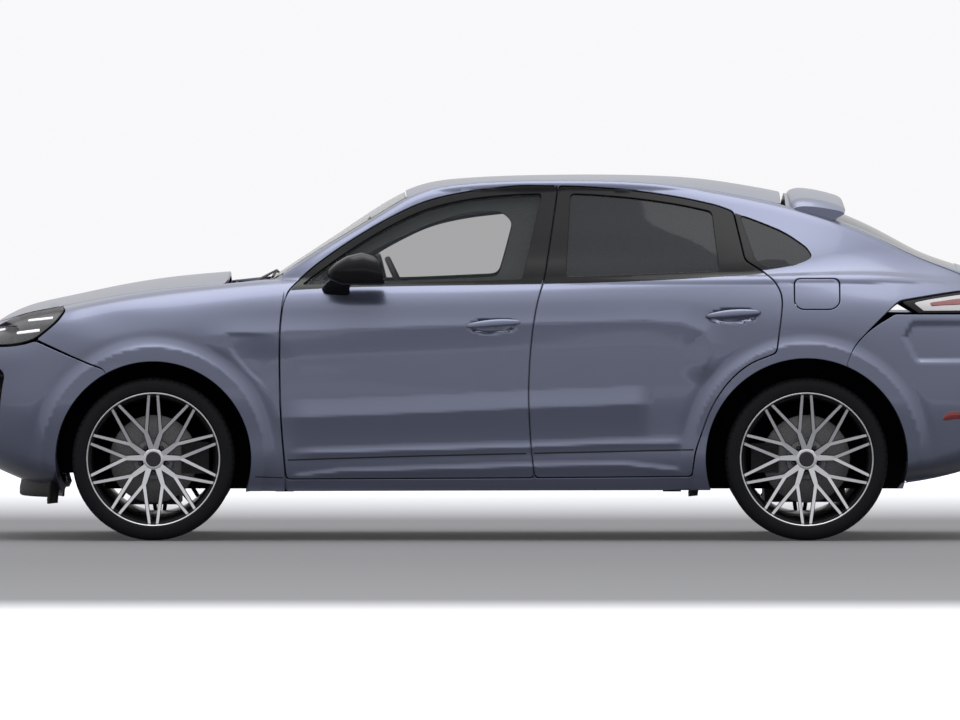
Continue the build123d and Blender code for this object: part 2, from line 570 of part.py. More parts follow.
# Cabin fittings
WHEEL_PLANE = Plane(origin=(-470, -400, 1085), x_dir=(0.4226, 0, -0.9063), z_dir=(0.9063, 0, 0.4226))
with BuildPart(WHEEL_PLANE) as column:
    with Locations((0, 0, -240)):
        Cylinder(42, 360)
    with Locations((0, 0, -90)):
        Cylinder(22.6, 62, mode=Mode.SUBTRACT)
dash = join(block(-1134.6, -760, -740, 740, 720, 1036), block(-800, -700, -700, -60, 820, 990),
            block(-860, 150, -130, 130, 250.4, 700), column.part)
save(dash, "dashboard")
with BuildPart() as front_seats:
    for y in (-400, 400):
        with Locations((-160, y, 545.2), (-150, y, 350.4)):
            Box(540, 500, 200)
        with BuildSketch(Plane.XZ.offset(-y - 245)):
            with BuildLine():
                Polyline((20, 600), (110, 480), (180, 600), (330, 1120), (345, 1370), (255, 1380), (230, 1150),
                         close=True)
            make_face()
        extrude(amount=490)
        with Locations((290, y - 190, 1290), (290, y + 190, 1290)):
            Box(300, 130, 240, mode=Mode.SUBTRACT)
save(front_seats.part, "front_seats")
with BuildPart() as bench:
    with BuildSketch(Plane.XZ.offset(-620)):
        with BuildLine():
            Polyline((430, 250.4), (430, 600), (850, 560), (1010, 1110), (1000, 1260), (1080, 1260), (1110, 1100),
                     (900, 600), (850, 480), (850, 250.4), close=True)
        make_face()
    extrude(amount=1240)
save(bench.part, "rear_bench")
with BuildPart(WHEEL_PLANE) as wheel_ring:
    with BuildSketch(Plane(WHEEL_PLANE.origin, x_dir=WHEEL_PLANE.x_dir, z_dir=WHEEL_PLANE.y_dir)):
        with Locations((175, 0)):
            Circle(14)
    revolve(axis=Axis(WHEEL_PLANE.origin, WHEEL_PLANE.z_dir))
    Cylinder(46, 30)
    Box(340, 40, 16)
    with Locations((0, 0, -60)):
        Cylinder(22, 110)
save(wheel_ring.part, "steering_wheel")
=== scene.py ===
from math import cos, pi, radians, sin, sqrt

import bmesh
import bpy
import numpy as np
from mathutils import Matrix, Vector
from mathutils.geometry import delaunay_2d_cdt


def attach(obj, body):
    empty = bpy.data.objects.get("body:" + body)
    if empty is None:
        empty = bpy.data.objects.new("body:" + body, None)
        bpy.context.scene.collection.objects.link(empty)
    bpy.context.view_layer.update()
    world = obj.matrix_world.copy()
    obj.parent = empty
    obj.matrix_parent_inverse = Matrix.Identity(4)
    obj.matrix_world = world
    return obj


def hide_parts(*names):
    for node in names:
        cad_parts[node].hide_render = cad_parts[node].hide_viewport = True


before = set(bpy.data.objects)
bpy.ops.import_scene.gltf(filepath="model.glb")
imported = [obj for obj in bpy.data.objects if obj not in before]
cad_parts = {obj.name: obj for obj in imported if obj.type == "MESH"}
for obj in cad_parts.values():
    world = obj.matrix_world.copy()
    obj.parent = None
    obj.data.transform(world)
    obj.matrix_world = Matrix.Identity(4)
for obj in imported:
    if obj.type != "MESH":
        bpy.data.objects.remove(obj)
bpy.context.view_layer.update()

# Wheel centres, with the middle plane of a wheel, and the radii of the wheel openings
X_FRONT, X_REAR, WHEEL_Z = -1.580, 1.315, 0.361
TRACK = 0.832
ARCH_F, ARCH_R = 0.434, 0.448
# Distance between the points of a panel, and the blocks round a tyre times six
STEP = 0.0104
TREAD = 432
# Sides of the car as the sign of Y, with the endings of their piece names
LEFT, RIGHT = -1, 1
ENDING = {LEFT: "_left", RIGHT: "_right"}
# Radii of the blends between flank and top, between these and the ends, and round the roof
FLANK_BLEND, END_BLEND, ROOF_BLEND = 0.05, 0.06, 0.03
# Depths of the wells and hollows pressed into the skin
COWL_WELL, TAIL_SCOOP, WING_HOLLOW = 0.085, 0.017, 0.009
DISH_DEPTH, DISH_HALF_LENGTH, DISH_HALF_HEIGHT = 0.015, 0.112, 0.036

# Flank width at fixed heights, one row per station, millimetres
FLANK_Z = [220, 300, 450, 600, 750, 900, 980, 1060, 1140]
FLANK = [
    (-2465, 700, 730, 780, 800, 790, 730, 640, 520, 380),
    (-2281, 780, 810, 850, 868, 858, 805, 690, 550, 400),
    (-2100, 850, 885, 922, 936, 928, 900, 848, 725, 570),
    (-1850, 880, 930, 956, 966, 964, 950, 915, 845, 715),
    (-1580, 900, 950, 966, 975, 975, 967, 942, 890, 790),
    (-1140, 905, 942, 958, 966, 967, 961, 945, 916, 852),
    (-600, 905, 938, 950, 956, 957, 953, 944, 925, 872),
    (90, 905, 940, 951, 957, 957, 953, 946, 933, 889),
    (850, 905, 946, 958, 965, 966, 961, 953, 936, 898),
    (1315, 905, 958, 975, 985, 985, 979, 970, 942, 893),
    (1750, 890, 930, 955, 965, 962, 952, 936, 897, 825),
    (2050, 850, 880, 900, 908, 902, 885, 862, 806, 715),
    (2250, 800, 820, 830, 834, 826, 800, 765, 700, 600),
    (2465, 720, 735, 745, 750, 740, 710, 670, 600, 500),
]
# Cabin side width at fixed heights, one row per station
CABIN_Z = [1060, 1150, 1250, 1350, 1450, 1550]
CABIN = [
    (-1095, 770, 720, 650, 580, 510, 440),
    (-974, 828, 795, 735, 675, 615, 555),
    (-750, 862, 841, 785, 727, 668, 610),
    (-567, 871, 854, 798, 742, 686, 629),
    (-421, 875, 862, 806, 750, 694, 638),
    (-202, 880, 869, 811, 753, 695, 637),
    (250, 885, 878, 820, 758, 696, 634),
    (664, 883, 876, 820, 755, 688, 621),
    (870, 877, 870, 815, 747, 676, 605),
    (1076, 866, 857, 802, 730, 655, 580),
    (1230, 850, 840, 787, 713, 635, 557),
    (1383, 828, 816, 764, 690, 612, 534),
    (1636, 775, 760, 705, 630, 552, 474),
    (1851, 720, 700, 640, 560, 480, 400),
    (2016, 675, 650, 580, 495, 410, 325),
    (2110, 640, 600, 520, 430, 340, 250),
]
# Centre line heights with the fall to the side: x, crown z, fall at y 800
DECK = [(-2465, 745, 30), (-2420, 828, 34), (-2370, 895, 36), (-2281, 968, 40), (-2205, 1012, 42),
        (-2129, 1040, 44), (-2000, 1070, 45), (-1850, 1102, 46), (-1660, 1139, 48), (-1500, 1162, 50),
        (-1300, 1181, 50), (-1100, 1194, 46), (-600, 1190, 36), (90, 1190, 30), (1315, 1205, 24),
        (1750, 1197, 34), (2050, 1170, 46), (2160, 1158, 50), (2250, 1135, 50), (2465, 1065, 50)]
# x, crown z, fall at y 600
ROOF_LINE = [(-1095, 1142, 15), (-974, 1224, 14), (-750, 1372, 22), (-567, 1493, 34), (-421, 1565, 30),
             (-202, 1603, 22), (250, 1618, 22), (664, 1613, 34), (870, 1598, 50), (1076, 1567, 57),
             (1230, 1536, 60), (1383, 1487, 52), (1636, 1381, 40), (1851, 1267, 26), (2016, 1194, 22),
             (2110, 1145, 20)]
# Front and rear faces on the centre line: z, x
NOSE = [(200, -2045), (260, -2174), (307, -2281), (360, -2380), (420, -2443), (500, -2463), (600, -2465),
        (700, -2464), (780, -2458), (850, -2438), (920, -2390), (980, -2310), (1040, -2180)]
TAIL = [(220, 1600), (262, 1780), (304, 2030), (360, 2230), (420, 2365), (500, 2440), (580, 2463),
        (660, 2465), (750, 2452), (850, 2418), (930, 2380), (1000, 2338), (1080, 2275), (1140, 2222),
        (1180, 2185), (1220, 2150)]


def mm(points):
    return [tuple(v / 1000 for v in p) for p in points]


def knots(at):
    """Weights of a natural cubic spline on these knots, as a function of position."""
    at = np.array(at, float)
    n, h = len(at), np.diff(at)
    a, r = np.eye(n), np.zeros((n, n))
    for i in range(1, n - 1):
        a[i, i - 1:i + 2] = h[i - 1] / 6, (h[i - 1] + h[i]) / 3, h[i] / 6
        r[i, i - 1:i + 2] = 1 / h[i - 1], -1 / h[i - 1] - 1 / h[i], 1 / h[i]
    bend = np.linalg.solve(a, r)

    def weights(x):
        x = np.clip(x, at[0], at[-1])
        i = np.clip(np.searchsorted(at, x, "right") - 1, 0, n - 2)
        s = at[i + 1] - at[i]
        t = (x - at[i]) / s
        w = ((t**3 - t) * s**2 / 6)[:, None] * bend[i + 1]
        w += (((1 - t)**3 - (1 - t)) * s**2 / 6)[:, None] * bend[i]
        row = np.arange(len(x))
        w[row, i] += 1 - t
        w[row, i + 1] += t
        return w

    return weights


def curve(rows, column=1):
    data = np.array(rows, float) / 1000
    weights = knots(data[:, 0])
    return lambda x: weights(x) @ data[:, column]


def sheet(rows, levels):
    data = np.array(rows, float) / 1000
    along, up = knots(data[:, 0]), knots(np.array(levels) / 1000)
    return lambda x, z: np.einsum("ni,ij,nj->n", along(x), data[:, 1:], up(z))


def soft_max(a, b, k):
    h = np.maximum(k - np.abs(a - b), 0) / k
    return np.maximum(a, b) + h * h * k / 4


def ramp(x, x0, x1):
    t = np.clip((x - x0) / (x1 - x0), 0, 1)
    return t * t * (3 - 2 * t)


flank, cabin_side = sheet(FLANK, FLANK_Z), sheet(CABIN, CABIN_Z)
deck_z, deck_fall = curve(DECK), curve(DECK, 2)
roof_z, roof_fall = curve(ROOF_LINE), curve(ROOF_LINE, 2)
nose_x, tail_x = curve(NOSE), curve(TAIL)


def line_distance(x, z, line):
    """Signed distance from a line of points in the side view, positive above it, and the place along it."""
    best = np.full(len(x), 9.0)
    place = np.zeros(len(x))
    side = np.ones(len(x))
    run = 0.0
    for (x0, z0), (x1, z1) in zip(line, line[1:]):
        dx, dz = x1 - x0, z1 - z0
        size = sqrt(dx * dx + dz * dz)
        t = np.clip(((x - x0) * dx + (z - z0) * dz) / size**2, 0, 1)
        gap = np.hypot(x - x0 - t * dx, z - z0 - t * dz)
        near = gap < best
        best = np.where(near, gap, best)
        place = np.where(near, run + t * size, place)
        side = np.where(near, np.sign(dx * (z - z0) - dz * (x - x0)), side)
        run += size
    return best * side, place, run


# Character lines on the flank: name, side view points, height of the ridge, reach above and below it,
# and the lengths over which it fades in and out
RIDGES = [
    ("shoulder", [(-1420, 905), (-1207, 918), (-1014, 927), (-600, 942), (-204, 955), (56, 963), (597, 976),
                  (763, 965), (861, 927), (886, 870), (863, 779), (822, 690)], 13, 86, 120, 240, 120),
    ("band", [(-1073, 546), (-1005, 546), (-660, 556), (-294, 571), (73, 588), (413, 600), (642, 612)],
     21, 78, 190, 200, 90),
    ("lower", [(-1000, 384), (-500, 398), (73, 414), (503, 431), (780, 434)], 9, 30, 34, 160, 60),
    ("sill", [(-990, 278), (-750, 304), (-294, 316), (73, 327), (503, 334), (781, 305)], 8, 24, 36, 60, 60),
]
# The same in metres, with the power that shapes the slope above the line
RIDGES = [(mm(line), h / 1000, up / 1000, down / 1000, f0 / 1000, f1 / 1000, 1.15 if name == "band" else 2.0)
          for name, line, h, up, down, f0, f1 in RIDGES]
# Front edge of the hollow behind the front wheel
HOLLOW = mm([(-1262, 925), (-1260, 905), (-1247, 855), (-1207, 801), (-1162, 752), (-1108, 698),
             (-1060, 640)])
# Flares round the wheel openings: wheel x, flat lip radius, fade radius, height
FLARES = [(X_FRONT, 0.495, 0.57, 0.017), (X_REAR, 0.509, 0.59, 0.016)]
# Door handles, with dishes behind them: door, x at both ends, z
HANDLES = [("front_door", -0.199, 0.052, 0.960), ("rear_door", 0.866, 1.112, 1.004)]


def relief(x, z):
    """Height of the flank's character lines over its plain surface."""
    out = np.zeros(len(x))
    for line, height, up, down, fade0, fade1, rise in RIDGES:
        d, place, whole = line_distance(x, z, line)
        soft = np.sqrt(d * d + 0.004**2) - 0.004
        shape = np.where(d > 0, np.clip(1 - soft / up, 0, 1)**rise, np.clip(1 - soft / down, 0, 1)**1.6)
        out += height * shape * ramp(place, 0, fade0) * ramp(whole - place, 0, fade1)
    for wheel_x, lip, fade, height in FLARES:
        r = np.hypot(x - wheel_x, z - WHEEL_Z)
        beyond = np.maximum(r - lip, 0)
        swell = height * np.exp(-(beyond / 0.019)**1.25) - 0.003 * np.exp(-((beyond - 0.048) / 0.022)**2)
        out = out * ramp(r, lip - 0.01, fade) + swell
    for name, x0, x1, z0 in HANDLES:
        off = x - (x0 + x1) / 2
        u = off / DISH_HALF_LENGTH
        v = (z - z0 + 0.008 - 0.04 * off) / DISH_HALF_HEIGHT
        out -= DISH_DEPTH * (1 - ramp(np.abs(u)**2.6 + np.abs(v)**2.6, 0.25, 1.0))
    d, place, whole = line_distance(x, z, HOLLOW)
    deep = WING_HOLLOW * ramp(d, -0.004, 0.016) * (1 - ramp(d, 0.04, 0.22)) * (1 - ramp(z, 0.900, 0.925))
    return out - deep * ramp(whole - place, 0.0, 0.12)


def scoop(x, z):
    """Depth of the wide hollow across the tail, round the plate."""
    start = 1.735 + 0.5 * np.abs(z - 0.900)
    return TAIL_SCOOP * ramp(x, start, start + 0.03) * ramp(z, 0.782, 0.812) * (1 - ramp(z, 0.945, 0.985))


def skin(p):
    """Negative inside the car's outer surface and positive outside it."""
    x, y, z = p[:, 0], np.abs(p[:, 1]), p[:, 2]
    side = y - flank(x, z) - relief(x, z)
    top = z - deck_z(x) + deck_fall(x) * (y / 0.8)**2
    # The well in front of the windscreen
    top += COWL_WELL * ramp(x, -1.236, -1.200) * (1 - ramp(x, -0.95, -0.85)) * (1 - ramp(y, 0.66, 0.74))
    front = nose_x(z) + 0.21 * (y / 0.88)**4.5 - x
    back = x - tail_x(z) + 0.24 * (y / 0.88)**5
    body = soft_max(soft_max(side, top, FLANK_BLEND), np.maximum(front, back), END_BLEND) + scoop(x, z)
    cabin = soft_max(y - cabin_side(x, z), z - roof_z(x) + roof_fall(x) * (y / 0.6)**2, ROOF_BLEND)
    cabin = np.maximum(cabin, np.maximum(-1.10 - x, x - 2.11))
    k = 0.016 + 0.10 * ramp(x, 1.0, 1.7)
    return -soft_max(-body, -cabin, k)


def normals(p):
    """Unit directions out of the skin."""
    e = 0.0015
    grad = [skin(p + np.eye(3)[i] * e) - skin(p - np.eye(3)[i] * e) for i in range(3)]
    n = np.stack(grad, 1)
    return n / np.linalg.norm(n, axis=1)[:, None]


def reach_skin(base, d, reach):
    """The points where lines from inside the car leave its skin."""
    low, high = np.zeros(len(base)), np.full(len(base), reach)
    for _ in range(17):
        mid = (low + high) / 2
        outside = skin(base + mid[:, None] * d) > 0
        low, high = np.where(outside, low, mid), np.where(outside, mid, high)
    return base + ((low + high) / 2)[:, None] * d


class Look:
    """A direction that the skin is seen along, with two axes across it."""

    def __init__(self, tilt=0.0, turn=0.0, origin=(0, 0, 0.5), reach=1.2):
        # Tilt 0 looks at the side and 90 at the top, and turn swings towards the nose
        t, u = radians(tilt), radians(turn)
        self.d = np.array([-sin(u) * cos(t), cos(u) * cos(t), sin(t)])
        self.a = np.array([cos(u), sin(u), 0.0])
        self.b = np.cross(self.d, self.a)
        if tilt < 90:
            self.b *= np.sign(self.b[2]) or 1
        self.flip = self.b @ np.cross(self.d, self.a) < 0
        self.origin, self.reach = np.array(origin, float), reach

    def flat(self, p):
        return np.stack([(p - self.origin) @ self.a, (p - self.origin) @ self.b], 1)

    def lift(self, q):
        """Points of the skin behind these flat ones."""
        base = self.origin + q[:, :1] * self.a + q[:, 1:] * self.b
        return reach_skin(base, self.d, self.reach)


class Round:
    """The skin seen from all round an upright axis: flat points are an arc length and a height."""

    def __init__(self, x, way, radius=0.9):
        self.x, self.way, self.radius = x, way, radius
        self.flip = way < 0

    def flat(self, p):
        turn = np.arctan2(p[:, 1], (p[:, 0] - self.x) * self.way)
        return np.stack([turn * self.radius, p[:, 2]], 1)

    def lift(self, q):
        """Points of the skin behind these flat ones."""
        turn = q[:, 0] / self.radius
        d = np.stack([np.cos(turn) * self.way, np.sin(turn), np.zeros(len(q))], 1)
        base = np.stack([np.full(len(q), self.x), np.zeros(len(q)), q[:, 1]], 1)
        return reach_skin(base, d, 1.5)


# Straight views, views all round the ends, and the slanting view of the tailgate
SIDE = Look(0)
TOP = Look(90)
FRONT = Look(0, 90, (-1.0, 0, 0.0), 1.6)
REAR = Look(0, -90, (1.0, 0, 0.0), 1.6)
NOSE_ROUND, TAIL_ROUND = Round(-1.62, -1), Round(1.36, 1)
GATE_LOOK = Look(45, -90, (1.2, 0, 0.6), 2.0)


def rounded(points, radius, closed=True):
    """The outline with its corners cut to arcs; shallow corners are smoothed over half their legs."""
    pts = np.array(points, float)
    out = []
    for i, p in enumerate(pts):
        if not closed and i in (0, len(pts) - 1):
            out.append(p)
            continue
        u, v = pts[i - 1] - p, pts[(i + 1) % len(pts)] - p
        lu, lv = np.linalg.norm(u), np.linalg.norm(v)
        turn = pi - np.arccos(np.clip(u @ v / (lu * lv), -1, 1))
        leg = 0.48 * min(lu, lv)
        if turn > 0.6:
            leg = min(leg, radius)
        a, b = p + u / lu * leg, p + v / lv * leg
        out += [(1 - t)**2 * a + 2 * t * (1 - t) * p + t * t * b for t in np.linspace(0, 1, 7)]
    return np.array(out)


def resample(points, step, closed=True):
    """Points at even distances along a line."""
    pts = np.vstack([points, points[:1]]) if closed else points
    run = np.concatenate([[0], np.cumsum(np.linalg.norm(np.diff(pts, axis=0), axis=1))])
    keep = np.concatenate([[True], np.diff(run) > 1e-9])
    pts, run = pts[keep], run[keep]
    count = max(int(run[-1] / step), 3)
    at = np.linspace(0, run[-1], count + 1)
    out = np.stack([np.interp(at, run, pts[:, k]) for k in range(pts.shape[1])], 1)
    return out[:-1] if closed else out


def outline(points, radius=0.012, look=None, step=None):
    """A closed outline given in millimetres as side x and z, or in another look, lifted to the skin."""
    look = look or SIDE
    pts = resample(rounded(mm(points), radius), step or STEP * 0.8)
    return look.lift(to_look(pts, look))


def to_look(pts, look):
    """Side points are x and z, top points x and y, front and rear points y and z."""
    if look is TOP:
        full = np.stack([pts[:, 0], pts[:, 1], np.zeros(len(pts))], 1)
    elif look in (FRONT, REAR):
        full = np.stack([np.zeros(len(pts)), pts[:, 0], pts[:, 1]], 1)
    else:
        full = np.stack([pts[:, 0], np.zeros(len(pts)), pts[:, 1]], 1)
    return look.flat(full)


def inside(q, loop):
    """Whether each flat point lies inside the loop."""
    x, y = q[:, 0], q[:, 1]
    odd = np.zeros(len(q), bool)
    for (x0, y0), (x1, y1) in zip(loop, np.roll(loop, -1, 0)):
        if y0 != y1:
            odd ^= ((y0 > y) != (y1 > y)) & (x < (x1 - x0) * (y - y0) / (y1 - y0) + x0)
    return odd


def area(loop):
    """Signed area, positive where the loop runs anticlockwise."""
    x, y = loop[:, 0], loop[:, 1]
    return 0.5 * np.sum(x * np.roll(y, -1) - np.roll(x, -1) * y)


def build(name, verts, faces, norms, marks, materials, side, body, slot):
    """A mesh object with its own normals, mirrored to the left where side is negative."""
    verts, norms = np.array(verts, float), np.array(norms, float)
    if side == LEFT:
        verts, norms = verts * (1, -1, 1), norms * (1, -1, 1)
        faces = [f[::-1] for f in faces]
    mesh = bpy.data.meshes.new(name)
    mesh.from_pydata(verts.tolist(), [], faces)
    mesh.polygons.foreach_set("use_smooth", [True] * len(faces))
    mesh.polygons.foreach_set("material_index", marks)
    for m in materials:
        mesh.materials.append(m)
    mesh.normals_split_custom_set_from_vertices(norms.tolist())
    obj = bpy.data.objects.new(name, mesh)
    bpy.context.scene.collection.objects.link(obj)
    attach(obj, body)
    return obj


def turned_loops(look, loops):
    """The outer loop anticlockwise as the look sees it, and the holes clockwise."""
    rings = [np.array(ring) for ring in loops]
    return [ring[::-1] if (area(look.flat(ring)) > 0) != (k == 0) else ring for k, ring in enumerate(rings)]


def edge_frame(ring, look, depth, wall):
    """One edge: its points, the skin's direction, the direction out of the panel and the wall there."""
    n = normals(ring)
    t = np.roll(ring, -1, 0) - np.roll(ring, 1, 0)
    t /= np.linalg.norm(t, axis=1)[:, None] + 1e-12
    b = np.cross(t, n) * (-1 if look.flip else 1)
    b /= np.linalg.norm(b, axis=1)[:, None] + 1e-12
    return ring - n * depth(ring)[:, None], n, b, wall(ring)


def in_face(q, loops):
    """Whether each flat point lies inside the first loop and outside the others."""
    good = inside(q, loops[0])
    for hole in loops[1:]:
        good &= ~inside(q, hole)
    return good


def face_grid(loops, borders, spacing):
    """A grid of flat points over the face, clear of its edges."""
    low, high = loops[0].min(0), loops[0].max(0)
    ga, gb = STEP * spacing[0], STEP * spacing[1]
    aa, bb = np.meshgrid(np.arange(low[0] + ga / 2, high[0], ga), np.arange(low[1] + gb / 2, high[1], gb))
    grid = np.stack([aa.ravel(), bb.ravel()], 1)
    grid = grid[in_face(grid, loops)]
    clear = np.ones(len(grid), bool)
    for i in range(0, len(grid), 2000):
        part = grid[i:i + 2000]
        gap = np.hypot(part[:, None, 0] - borders[None, :, 0], part[:, None, 1] - borders[None, :, 1])
        clear[i:i + 2000] = gap.min(1) > min(ga, gb) * 0.6
    return grid[clear]


def laid(grid, look, depth, sunk):
    """Points and skin directions behind flat points; a sunk one still shows where its flat point is."""
    if not len(grid):
        return np.zeros((0, 3)), np.zeros((0, 3))
    p = look.lift(grid)
    if sunk:
        p = look.lift(2 * grid - look.flat(p - normals(p) * depth(p)[:, None]))
    n = normals(p)
    return p - n * depth(p)[:, None], n


def zone_edges(zones, loops, borders):
    """The flat points of the zones' outlines that fall on the face."""
    kept = [np.zeros((0, 2))]
    for zone in zones:
        near = np.array([np.hypot(*(borders - q).T).min() for q in zone])
        kept.append(zone[in_face(zone, loops) & (near > 0.002)])
    return np.vstack(kept)


def triangles(flat, loops, first, flip):
    """Triangles over the flat points that keep to the face, turned one way, and their middles."""
    edges = []
    for loop in loops:
        m = len(loop)
        edges += [(first + i, first + (i + 1) % m) for i in range(m)]
        first += m
    out = delaunay_2d_cdt([Vector(q) for q in flat], edges, [], 0, 1e-7, True)
    index = [o[0] if o else None for o in out[3]]
    tris = np.array([[index[i] for i in f] for f in out[2] if all(index[i] is not None for i in f)])
    mid = flat[tris].mean(1)
    good = in_face(mid, loops)
    tris, mid = tris[good], mid[good]
    ab, ac = flat[tris[:, 1]] - flat[tris[:, 0]], flat[tris[:, 2]] - flat[tris[:, 0]]
    turned = (ab[:, 0] * ac[:, 1] - ab[:, 1] * ac[:, 0] > 0) == flip
    tris[turned] = tris[turned][:, ::-1]
    return tris, mid


class Sheet:
    """A mesh in the making: points, their directions, faces, and the material number of each face."""

    def __init__(self):
        self.verts, self.norms, self.faces, self.marks = [], [], [], []

    def points(self, pts, directions):
        """Adds points and says where they start."""
        start = len(self.verts)
        self.verts += list(pts)
        self.norms += list(directions)
        return start

    def strip(self, r0, r1, marks, flip):
        """Adds the quads between two closed rows of points."""
        m = len(marks)
        for i in range(m):
            j = (i + 1) % m
            quad = (r0 + i, r1 + i, r1 + j, r0 + j)
            self.faces.append(quad[::-1] if flip else quad)
            self.marks.append(marks[i])


def on_side(name, body, side, sides):
    """The names of a piece and its body, with the side's ending where there are two."""
    word = ENDING[side] if len(sides) == 2 else ""
    return name + word, body + word if body.endswith("door") else body


def panel(name, loop, body, materials, look=None, holes=(), sides=(LEFT, RIGHT), sink=0.0, thick=0.0,
          flange=0.014, edge=0.003, spacing=(1.5, 1.0), zones=(), slot="paint", replaces=None):
    """A pressed panel: the skin inside a loop of points on it, rounded edges, a flange, and a back if it is
    thick. Materials are for face, edge, back and then one per zone. Sink and thick may be functions."""
    look = look or SIDE
    depth = sink if callable(sink) else lambda p: np.full(len(p), sink)
    wall = thick if callable(thick) else lambda p: np.full(len(p), thick)
    has_back = callable(thick) or thick > 0
    rings = [edge_frame(ring, look, depth, wall) for ring in turned_loops(look, [loop, *holes])]
    loops = [look.flat(base - b * edge) for base, n, b, w in rings]
    borders = np.vstack(loops)
    grid = face_grid(loops, borders, spacing)
    inner, inner_n = laid(grid, look, depth, bool(sink))
    zones = [look.flat(np.array(zone)) for zone in zones]
    more = zone_edges(zones, loops, borders)
    lifted, lifted_n = laid(more, look, lambda p: np.zeros(len(p)), False)
    lifted = lifted - lifted_n * depth(lifted)[:, None]
    face = np.vstack([inner] + [base - b * edge for base, n, b, w in rings] + [lifted])
    face_n = np.vstack([inner_n] + [n for base, n, b, w in rings] + [lifted_n])
    tris, mid = triangles(np.vstack([grid, *loops, more]), loops, len(grid), look.flip)
    mark = np.zeros(len(tris), int)
    for k, zone in enumerate(zones):
        mark[inside(mid, zone)] = 3 + k
    made = Sheet()
    made.points(face, face_n)
    made.faces += [tuple(int(i) for i in f) for f in tris]
    made.marks += mark.tolist()
    if has_back:
        back = made.points(face - face_n * wall(face)[:, None], -face_n)
        made.faces += [tuple(int(back + i) for i in f[::-1]) for f in tris]
        made.marks += [2] * len(tris)
    start = len(inner)
    for base, n, b, w in rings:
        m = len(base)
        in_zone = inside(look.flat(base), zones[0]) if zones else np.zeros(m, bool)
        deep = w if has_back else np.full(m, flange)
        foot = base - n * deep[:, None]
        rows = [start, made.points(base - b * edge * 0.3 - n * edge * 0.3, (n + b) / sqrt(2)),
                made.points(base - n * edge, b), made.points(foot, b)]
        for k in range(3):
            made.strip(rows[k], rows[k + 1], [3 if dark else k // 2 for dark in in_zone], look.flip)
        if has_back:
            made.strip(made.points(foot, -n), back + start, [2] * m, look.flip)
        start += m
    objects = []
    for side in sides:
        piece, carrier = on_side(name, body, side, sides)
        objects.append(build(piece, made.verts, made.faces, made.norms, made.marks, materials, side, carrier,
                             slot))
    if replaces:
        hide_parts(*replaces)
    return objects


# Materials
def material(name, color, rough=0.5, metal=0.0, coat=0.0, alpha=1.0, glow=0.0, vary=0.06, scale=40.0,
             bump=0.0, gloss=0.5):
    """A procedural finish: noise varies its colour by vary, and raises a fine grain where there is bump."""
    m = bpy.data.materials.new(name)
    m.use_nodes = True
    tree = m.node_tree
    shader = tree.nodes["Principled BSDF"]
    shader.inputs["Roughness"].default_value = rough
    shader.inputs["Metallic"].default_value = metal
    shader.inputs["Coat Weight"].default_value = coat
    shader.inputs["Coat Roughness"].default_value = 0.04
    shader.inputs["Alpha"].default_value = alpha
    shader.inputs["Specular IOR Level"].default_value = gloss
    if glow:
        shader.inputs["Emission Color"].default_value = (*color, 1)
        shader.inputs["Emission Strength"].default_value = glow
    place = tree.nodes.new("ShaderNodeTexCoord")
    grain = tree.nodes.new("ShaderNodeTexNoise")
    grain.inputs["Scale"].default_value = scale
    grain.inputs["Detail"].default_value = 4
    tree.links.new(place.outputs["Object"], grain.inputs["Vector"])
    shades = tree.nodes.new("ShaderNodeValToRGB")
    for k, f in ((0, 1 - vary), (1, 1 + vary)):
        shades.color_ramp.elements[k].position = 0.3 + 0.4 * k
        shades.color_ramp.elements[k].color = (*[min(c * f, 1) for c in color], 1)
    tree.links.new(grain.outputs["Fac"], shades.inputs["Fac"])
    tree.links.new(shades.outputs["Color"], shader.inputs["Base Color"])
    if bump:
        relief_node = tree.nodes.new("ShaderNodeBump")
        relief_node.inputs["Strength"].default_value = bump
        relief_node.inputs["Distance"].default_value = 0.0006
        tree.links.new(grain.outputs["Fac"], relief_node.inputs["Height"])
        tree.links.new(relief_node.outputs["Normal"], shader.inputs["Normal"])
    return m


PAINT = material("paint_blue_grey", (0.128, 0.141, 0.205), 0.30, 0.70, 0.4, vary=0.05, scale=2600, bump=0.03)
BLACK = material("gloss_black", (0.004, 0.004, 0.005), 0.18, vary=0.2, gloss=0.18)
PLASTIC = material("black_plastic", (0.012, 0.012, 0.013), 0.6, vary=0.2, scale=900, bump=0.4, gloss=0.3)
LINER = material("black_liner", (0.005, 0.005, 0.006), 0.85, vary=0.3, scale=300, bump=0.5, gloss=0.1)
SILVER = material("machined_alloy", (0.62, 0.63, 0.65), 0.30, 1.0, 0.2, vary=0.06, scale=500)
DARK_ALLOY = material("dark_alloy", (0.010, 0.010, 0.012), 0.35, 0.2, 0.2, vary=0.15, gloss=0.3)
STEEL = material("brake_steel", (0.20, 0.20, 0.205), 0.5, 1.0, vary=0.25, scale=160)
CAST = material("cast_metal", (0.045, 0.045, 0.048), 0.6, 0.8, vary=0.25, scale=120, bump=0.4)
RUBBER = material("tyre_rubber", (0.008, 0.0085, 0.010), 0.75, vary=0.25, scale=220, bump=0.3, gloss=0.12)
CLEAR = material("clear_glass", (0.020, 0.026, 0.026), 0.02, alpha=0.38, vary=0.02, gloss=0.2)
TINTED = material("tinted_glass", (0.014, 0.016, 0.019), 0.03, alpha=0.97, vary=0.05, gloss=0.2)
LAMP_CLEAR = material("lamp_cover", (0.10, 0.10, 0.105), 0.05, alpha=0.30, coat=0.6, vary=0.02)
SMOKE = material("lamp_housing", (0.060, 0.060, 0.064), 0.35, 0.3, vary=0.25, scale=30)
LENS = material("lamp_silver_lens", (0.36, 0.35, 0.36), 0.25, 0.4, 0.6, vary=0.12, scale=260)
LED = material("lamp_light_bar", (0.95, 0.97, 1.0), 0.3, glow=0.9, vary=0.02)
MIRROR = material("mirror_glass", (0.70, 0.71, 0.73), 0.05, 1.0, vary=0.02)
